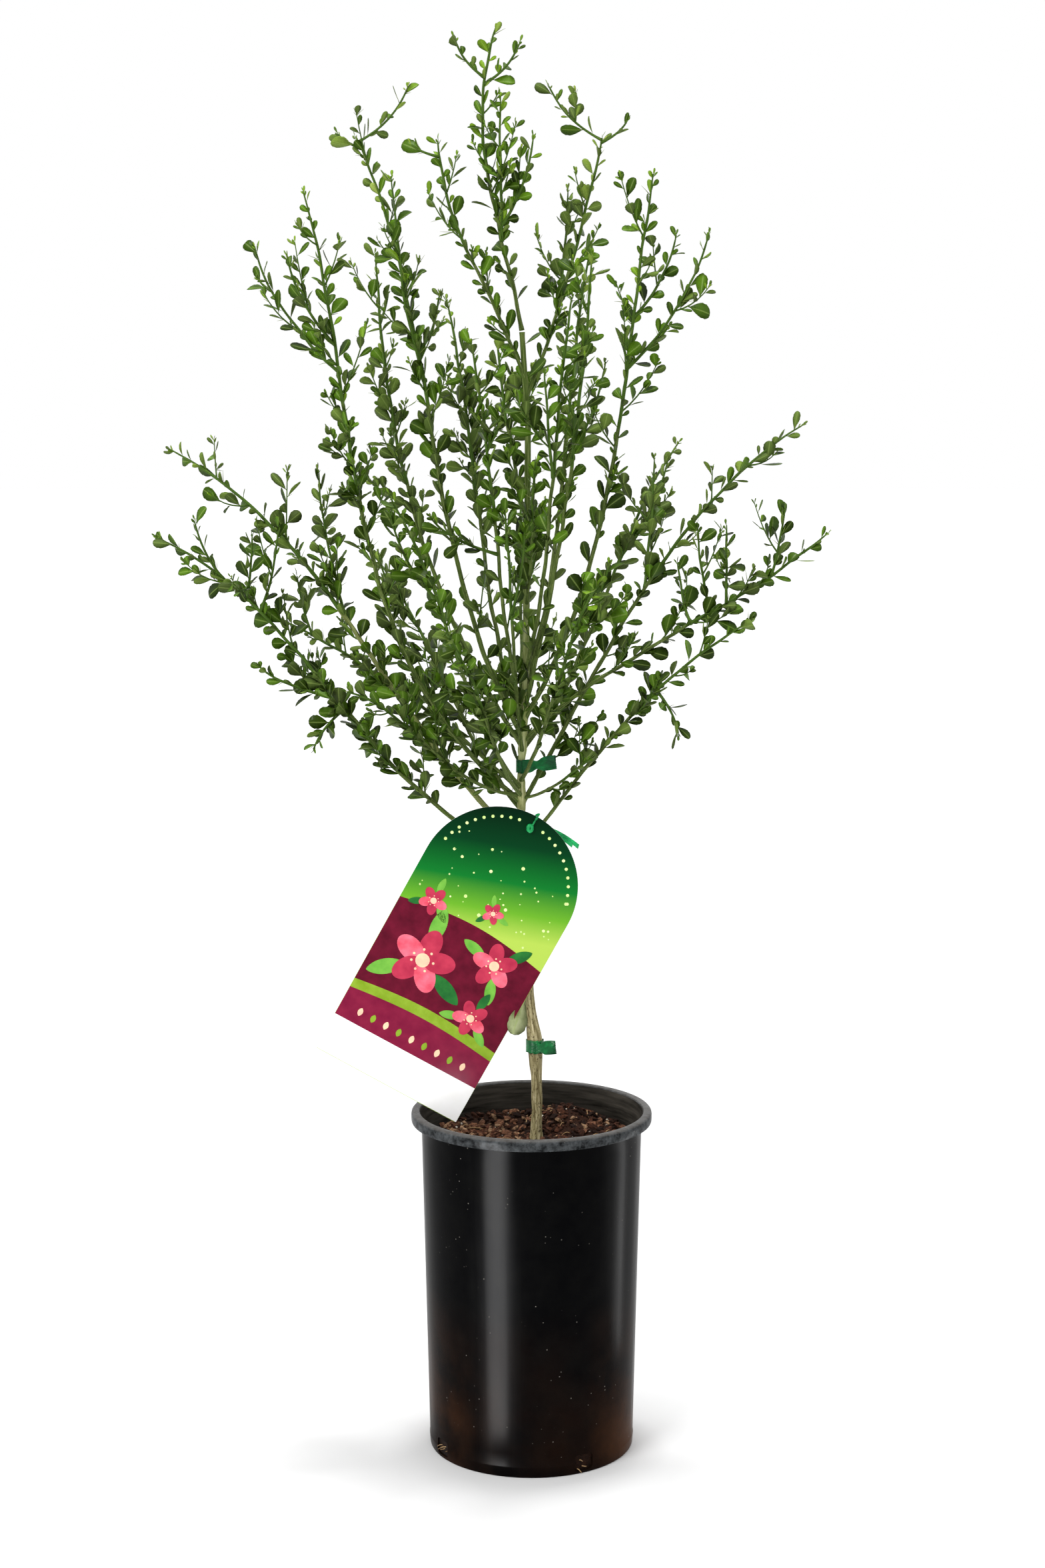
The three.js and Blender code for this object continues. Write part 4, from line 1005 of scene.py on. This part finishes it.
def makeTree():
    shoots = growLimbs()
    twigs = growTwigs(shoots)
    leaves, thorns = growLeaves(shoots + twigs)
    boughNodes, massNodes = (sorted(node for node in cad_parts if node.startswith(kind))
                             for kind in ("bough_", "mass_"))
    shootBark = barkMaterial("youngShootBark", barkLook["shoot"], None, 0.6)
    barks = [barkMaterial("paleStripedBark", barkLook["pale"], barkLook["paleFleck"]),
             barkMaterial("greenStripedBark", barkLook["green"], barkLook["greenFleck"]), shootBark]
    makeTrunk([row[1] for row in limbTable])
    makeBoughs(shoots, boughNodes + massNodes, barks)
    makeTwigs(twigs, massNodes, shootBark)
    makeThorns(thorns, massNodes)
    makeLeaves(leaves, massNodes)
    makeFadedLeaf(massNodes)
    print(f"{len(leaves)} leaves, {len(thorns)} thorns, {len(twigs)} twigs")


makeTree()
print("the tree is grown")

tagShape = {
    "width": 132.0, "length": 257.0, "thickness": 0.8, "tilt": 29.0, "headCentre": (-28.0, 476.0),
    "back": -6.7, "holeRadius": 2.7, "holeAt": (0.5, 55.0), "bow": 1.6, "roundedEdge": 0.12,
}
tagLook = {
    "head": [(0.0, "#acca52"), (0.2, "#66a72a"), (0.42, "#0f7228"), (0.7, "#03391a"), (1.0, "#021a0c")],
    "inks": {
        "crimson": ("#761636", "#86203e"), "lime": ("#7a9a22", "#90ae38"), "white": ("#fbfbf9", "#ffffff"),
        "petal": ("#d4455a", "#e8768a"), "petalDeep": ("#a92c47", "#c23c55"),
        "heart": ("#f0b9a0", "#f6d9b0"), "leaf": ("#1d5a2b", "#2f7a35"), "leafPale": ("#5ea13a", "#7dbb4a"),
        "dot": ("#bfe07a", "#e4f2b4"), "field": ("#530f22", "#6c162d"),
    },
    "rough": 0.22, "shine": 0.035,
    # ink, foot, top, how much the top waves up, and how far in front of the card it lies
    "bands": [("field", -132, -46, 8, 0.04), ("lime", -140, -124, 6, 0.07), ("crimson", -160, -132, 5, 0.1)],
    "whiteTop": -158, "borderRadius": 58, "borderDots": 22, "looseDots": 46, "lozenges": 9,
    # across, up and size
    "blooms": [(-24, -84, 27), (30, -60, 19), (34, -108, 15), (-40, -36, 12), (8, -22, 9)],
}


inkNames = list(tagLook["inks"])


def cardPoint(across, up, lift):
    # a place on the card, in its own width and length, and how far it stands in front of the card's back
    tilt, bow = math.radians(tagShape["tilt"]), tagShape["bow"]
    x, z = tagShape["headCentre"]
    bent = bow * ((across / (tagShape["width"] / 2)) ** 2) * 0.5
    return asPoints(x + across * math.cos(tilt) + up * math.sin(tilt),
                    tagShape["back"] - lift + bent * 0.5 - bow * 0.25,
                    z - across * math.sin(tilt) + up * math.cos(tilt))


def onCard(flat, lift, faces, slots, depth=0.0):  # depth is the third number of its grain
    return {"points": cardPoint(flat[:, 0], flat[:, 1], lift), "faces": faces, "slots": slots,
            "grain": asPoints(flat[:, 0], flat[:, 1], depth) / 10}


def headInk():
    material, shader = newMaterial("tagHeadInk", tagLook["rough"], tagLook["shine"])
    place = placeOf(material, grain=True)
    across, up, _ = axes(material, place)
    slant = spread(material, reckon(material, "MULTIPLY_ADD", across, -0.35, up), -4.5, 7.2, 0, 1)
    feed(shader.inputs["Base Color"], ramp(material, slant, tagLook["head"]))
    raised(material, shader, cloud(material, place, 8, 2), 0.04, 0.0004)
    return material


def printInk(name):
    first, second = tagLook["inks"][name]
    return mottled(f"tag{name[0].upper()}{name[1:]}Ink", tagLook["rough"], tagLook["shine"],
                   [(0.3, first), (0.7, second)], (0.9, 3), (9, 2), 0.04, 0.0004, grain=True)


def cardBlank():
    s, half = tagShape, tagShape["width"] / 2
    foot = half - s["length"]
    arch = [(half * math.cos(a), half * math.sin(a)) for a in np.linspace(0, math.pi, 49)]
    left = [(-half, v) for v in np.linspace(-8, foot + 2, 24)]
    base = [(-half + 1, foot), *[(u, foot) for u in np.linspace(-half + 6, half - 6, 12)], (half - 1, foot)]
    right = [(half, v) for v in np.linspace(foot + 2, -8, 24)]
    outline = np.array([*arch, *left, *base, *right])
    # rings of the card from the hole out to its edge, in line with the hole's middle, and back behind
    x, y = s["holeAt"]
    direction = np.arctan2(outline[:, 1] - y, outline[:, 0] - x)
    hole = np.stack([x + s["holeRadius"] * np.cos(direction), y + s["holeRadius"] * np.sin(direction)], -1)
    shares = (0, 0.02, 0.08, 0.2, 0.4, 0.6, 0.8, 0.95, 0.996, 1.0)
    front = [hole + (outline - hole) * share for share in shares]
    behind, edge = front[-2::-1], s["roundedEdge"]
    lifts = [s["thickness"]] * len(behind) + [s["thickness"] - edge, edge] + [0] * len(behind)
    flats = [*front, outline, *behind]
    card = sleeve(np.array([cardPoint(*flat.T, lift) for flat, lift in zip(flats, lifts)]), closed=True)
    card["grain"] = asPoints(*np.concatenate(flats).T, 0.0) / 10
    card["slots"] = np.where((card["faces"] // len(outline)).max(1) < len(front), 0, 1)
    return card


def printShape(outline, lift, ink):
    # a printed shape: rings of fine strips round its middle, laid on the bowed card
    middle, count = outline.mean(0), len(outline)
    rings = [middle + (outline - middle) * share for share in (0.34, 0.67, 1.0)]
    around = np.arange(count)
    onward = (around + 1) % count
    faces = [asPoints(0, 1 + around, 1 + onward)]
    for start in (1, 1 + count):
        a, b = start + around, start + onward
        faces += [asPoints(a, a + count, b + count), asPoints(a, b + count, b)]
    lift += tagShape["thickness"]
    return onCard(np.concatenate([[middle], *rings]), lift, np.concatenate(faces), inkNames.index(ink), lift)


def printBand(ink, bottom, top, wave, lift):
    half, columns, rows = tagShape["width"] / 2, 34, 5
    across = np.linspace(-half + 0.15, half - 0.15, columns)
    upper = top + wave * np.cos(across / half * math.pi / 2)
    flat = [np.stack([across, bottom + (upper - bottom) * k], -1) for k in np.linspace(0, 1, rows)]
    a = (np.arange(rows - 1)[:, None] * columns + np.arange(columns - 1)[None, :]).ravel()
    faces = np.concatenate([asPoints(a, a + 1, a + columns + 1), asPoints(a, a + columns + 1, a + columns)])
    return onCard(np.concatenate(flat), tagShape["thickness"] + lift, faces, inkNames.index(ink))


def ellipse(cx, cy, long, wide, turn, point=1.0, sides=28):
    angle = np.arange(sides) * 2 * math.pi / sides
    x = long * np.cos(angle)
    y = wide * np.sin(angle) * np.abs(np.sin(angle)) ** (point - 1)
    c, s = math.cos(math.radians(turn)), math.sin(math.radians(turn))
    return np.stack([cx + x * c - y * s, cy + x * s + y * c], -1)


def printBorder():  # dots along the arch, with room for the hole
    shapes = []
    last, radius = tagLook["borderDots"] - 1, tagLook["borderRadius"]
    for step in range(last + 1):
        angle = math.radians(14 + 152 * step / last)
        if abs(angle - math.pi / 2) > 0.14:
            dot = ellipse(radius * math.cos(angle), radius * math.sin(angle), 1.3, 1.3, 0)
            shapes.append(printShape(dot, 0.04, "dot"))
    return shapes


def printLeaves(x, y, size):  # three leaves behind a bloom
    half, shapes = tagShape["width"] / 2, []
    for k in range(3):
        angle = 50 + 118 * k + 8 * x
        aside, upward, _ = outward(angle) * (size * 1.15)
        leafX = np.clip(x + aside, -half + size * 0.62, half - size * 0.62)
        leaf = ellipse(leafX, max(y + upward, -126), size * 0.6, size * 0.24, angle, 1.5)
        leaf[:, 0] = np.clip(leaf[:, 0], -half + 0.3, half - 0.3)
        shapes.append(printShape(leaf, 0.14 + 0.02 * k, "leaf" if k % 2 else "leafPale"))
    return shapes


def printBloom(x, y, size, turn, draw):
    shapes = []
    for k in range(5):
        angle = 90 + 72 * k + turn
        aside, upward, _ = outward(angle) * size * 0.52
        petal = ellipse(x + aside, y + upward, size * 0.5, size * 0.33, angle)
        shapes.append(printShape(petal, 0.2 + 0.012 * k, "petal" if k % 2 else "petalDeep"))
    shapes.append(printShape(ellipse(x, y, size * 0.22, size * 0.22, 0), 0.28, "heart"))
    for k in range(7):
        aside, upward, _ = outward(k * 51 + 20 * draw()) * size * 0.34
        stamen = ellipse(x + aside, y + upward, size * 0.04, size * 0.04, 0, 1, 12)
        shapes.append(printShape(stamen, 0.3, "heart"))
    return shapes


def makeTag():
    draw = seededDraw(311)
    shapes = [printBand(*band) for band in tagLook["bands"]]
    foot = tagShape["width"] / 2 - tagShape["length"]
    shapes += [printBand("white", foot + 0.4, tagLook["whiteTop"], 0, 0.13), *printBorder()]
    for bloom in tagLook["blooms"]:
        shapes += printLeaves(*bloom)
    for index, bloom in enumerate(tagLook["blooms"]):
        shapes += printBloom(*bloom, 17 * index, draw)
    for _ in range(tagLook["looseDots"]):
        x, y = (draw() - 0.5) * 118, between((-40, 34), draw())
        if math.hypot(x, max(y, 0)) < 60:
            size = between((0.5, 1.7), draw() ** 2)
            shapes.append(printShape(ellipse(x, y, size, size, 0, 1, 14), 0.05, "dot"))
    for k in range(tagLook["lozenges"]):  # a plain row in the crimson band
        lozenge = ellipse(-48 + 12 * k, -147, 3.6, 2.2, 90, 1.6)
        shapes.append(printShape(lozenge, 0.14, "lime" if k % 2 else "heart"))
    inks = [printInk(name) for name in inkNames]
    card = [headInk(), inks[inkNames.index("white")]]
    makePiece("tagCard", cardBlank(), card, ["tag"], smooth=False)
    makePiece("tagPrint", joinParts(shapes), inks, ["tag"], smooth=False)


makeTag()
print("the tag is made")

tieShape = {
    "width": 11.0, "thickness": 0.45, "slack": 0.85, "wrapTurn": (-100, 292),
    "pinch": (0.42, 0.12),  # how much narrower the tail is where it is pinched, and over which share of it
    "low": {"z": 340.5, "lean": 0.0, "tail": 17.0, "pinchAt": 0.24},
    "high": {"z": 574.0, "lean": 8.0, "tail": 28.5, "pinchAt": 0.44},
    "strand": 0.85,
    # which way from the head's centre the hole is, and how far out are the hole and the strand at the edge
    "holeLean": 60.5, "holeReach": 55.0, "edgeReach": 68.4,
    "tagTails": (((16, 526), (38.5, 507.5), 0.9), ((14, 524), (33.5, 508.5), -0.7)),  # bend, end (x, z), turn
}
tieLook = {"tape": [(0.3, "#033a1f"), (0.55, "#065c2c"), (0.75, "#12803f")],
           "knot": [(0.3, "#06733b"), (0.7, "#23b465")]}


def tapeMaterial(name, stops):
    material, shader = newMaterial(name, 0.28, 0.2)
    feed(shader.inputs["Base Color"], ramp(material, cloud(material, placeOf(material), 130, 4), stops))
    raised(material, shader, cloud(material, placeOf(material, (1, 1, 2.5)), 260, 3), 0.5, 0.0012)
    return material


def tapeStrip(centres, uppers, facings, widths, teeth=False):
    # a closed thin strip: its middle line, the direction of its width and of its face at each place
    rows = []
    columns, thick = np.arange(13), tieShape["thickness"] / 2
    across = np.linspace(-1, 1, 13)
    for index, (centre, upper, facing) in enumerate(zip(centres, uppers, facings)):
        atEnd = teeth and index == len(centres) - 1
        shift = np.where((columns % 2 == 1) & atEnd, -1.1, 0.0)  # the cut end is toothed
        onward = unit(np.cross(upper, facing))
        if index > 0 and (centre - centres[index - 1]) @ onward < 0:
            onward = -onward
        middle = centre + upper * (across * widths[index] / 2)[:, None] + onward * shift[:, None]
        rows.append(np.concatenate([middle + facing * thick, (middle - facing * thick)[::-1]]))
    return sleeve(np.array(rows))


def makeTie(name, node, row, tape):
    centre, radius = trunkAt(row["z"])
    radius = radius + tieShape["slack"]
    width, steps = tieShape["width"], 60
    places, spokes = [], []
    for index, angle in enumerate(np.linspace(*tieShape["wrapTurn"], steps)):
        share = index / (steps - 1)
        reach = radius + 0.35 * share + 0.12 * math.sin(angle * 0.11)
        spokes.append(outward(angle))
        places.append(centre + spokes[-1] * reach + np.array([0, 0, 0.7 * (share - 0.5)]))
    widths = [width * (1 - 0.1 * math.sin(index * 0.37) ** 2) for index in range(steps)]
    wrap = tapeStrip(places, [np.array([0, 0, 1.0])] * steps, spokes, widths)
    along = np.linspace(0, 1, 22)
    lean = math.radians(row["lean"])
    start = centre + np.array([0.4, -radius - 0.5, 0])
    way = np.array([math.cos(lean), 0, math.sin(lean)])
    pinch, pinchReach = tieShape["pinch"]
    widths = width * (1 - pinch * np.exp(-((along - row["pinchAt"]) / pinchReach) ** 2)) * (1 + 0.1 * along)
    path = [start + way * row["tail"] * a + outward(90) * (-0.9 * math.sin(a * 5.2) - 0.3) for a in along]
    lifted = [unit(np.array([0, 0.35 * math.sin(a * 4), 1.0]) - way * (0.1 * a)) for a in along]
    tail = tapeStrip(path, lifted, [unit(np.cross(way, upper)) for upper in lifted], widths, teeth=True)
    makePiece(name, joinParts([wrap, tail]), [tape], [node])


def closedCurve(places, steps):
    places = np.asarray(places, float)
    count, rows = len(places), []
    for index in range(count):
        a, b, c, d = (places[(index + k) % count] for k in (-1, 0, 1, 2))
        for t in np.arange(steps) / steps:
            square, cube = (2 * a - 5 * b + 4 * c - d) * t ** 2, (3 * b - a - 3 * c + d) * t ** 3
            rows.append(0.5 * (2 * b + (c - a) * t + square + cube))
    return np.array(rows)


def twistedStrand(path):
    twist = tieShape["strand"] * (1 + 0.16 * np.sin(np.arange(len(path)) * 1.35))
    corners = np.arange(8)
    flatness = np.where(corners % 4 == 0, 1.15, 0.85)
    rings = []
    for index, way in enumerate(np.roll(path, -1, 0) - np.roll(path, 1, 0)):
        way = unit(way)
        side = unit(np.cross(way, [0.2, 0.3, 0.93]))
        other = np.cross(side, way)
        angle = corners * math.pi / 4 + index * 0.5
        spokes = side * np.cos(angle)[:, None] + other * np.sin(angle)[:, None]
        rings.append(path[index] + spokes * (twist[index] * flatness)[:, None])
    return sleeve(np.array(rings), closed=True)


def tagTail(foot, bend, end, turning):
    controls = [foot, (bend[0], 0.9, bend[1]), (end[0], -1.0, end[1])]
    along = np.linspace(0, 1, 24)
    line = [curvePoint(controls, a) for a in along]
    uppers = [unit(np.array([0.3, 0.6 * math.sin(a * 1.6 * turning), 1.0])) for a in along]
    ways = np.gradient(np.array(line), axis=0)
    facings = [unit(np.cross(unit(way), upper)) for way, upper in zip(ways, uppers)]
    return tapeStrip(line, uppers, facings, 1.8 + 2.2 * along)


def makeTagTie(tape):
    lean = math.radians(tieShape["holeLean"])
    rimWay = np.array([math.cos(lean), 0, math.sin(lean)])
    head = np.array([tagShape["headCentre"][0], tagShape["back"] - 0.4, tagShape["headCentre"][1]])
    hole, beyond = head + rimWay * tieShape["holeReach"], head + rimWay * tieShape["edgeReach"]
    z = hole[2]
    (x, _, _), wood = trunkAt(float(z) + 3)
    away = wood + 1.2
    ahead = np.array([0, -2.3, 0])
    # through the hole, round the trunk and back past the card's edge
    places = [hole + ahead * 0.6, hole - ahead * 0.6, (x, -away, z + 0.5), (x - away, 0, z + 1),
              (x, away, z + 2), (x + away, 0.5, z + 4), beyond, (hole + beyond) / 2 + ahead]
    strand = twistedStrand(closedCurve(places, 10))
    angle = np.linspace(0, 4 * math.pi, 60)
    loops = asPoints(1.6 * np.cos(angle), 0.5 * np.sin(angle * 0.5), 2.3 * np.sin(angle))
    knot = tube(hole + np.array([-0.4, -2.1, 0.3]) + loops, np.full(60, 1.6), 8)
    tails = [tagTail((x + away, 0.6, z + 2), *tail) for tail in tieShape["tagTails"]]
    makePiece("tagTieStrand", joinParts([strand, knot, *tails]), [tape], ["tag_tie"])


tieTape = tapeMaterial("greenTieTape", tieLook["tape"])
makeTie("lowTapeTie", "tie_low", tieShape["low"], tieTape)
makeTie("highTapeTie", "tie_high", tieShape["high"], tieTape)
makeTagTie(tapeMaterial("brightTieTape", tieLook["knot"]))
print("the ties are made")

floorLook = {"side": 60.0, "light": "#d8d8d8", "shade": "#d5d5d5"}  # its side in metres


def makeFloor():
    half = floorLook["side"] / 2
    mesh = bpy.data.meshes.new("paleFloor")
    corners = [(-half, -half, 0), (half, -half, 0), (half, half, 0), (-half, half, 0)]
    mesh.from_pydata(corners, [], [(0, 1, 2, 3)])
    stops = [(0.3, floorLook["shade"]), (0.7, floorLook["light"])]
    mesh.materials.append(mottled("paleFloorPaint", 0.9, 0.0, stops, (3, 2)))
    floor = bpy.data.objects.new("paleFloor", mesh)
    scene.collection.objects.link(floor)


makeFloor()
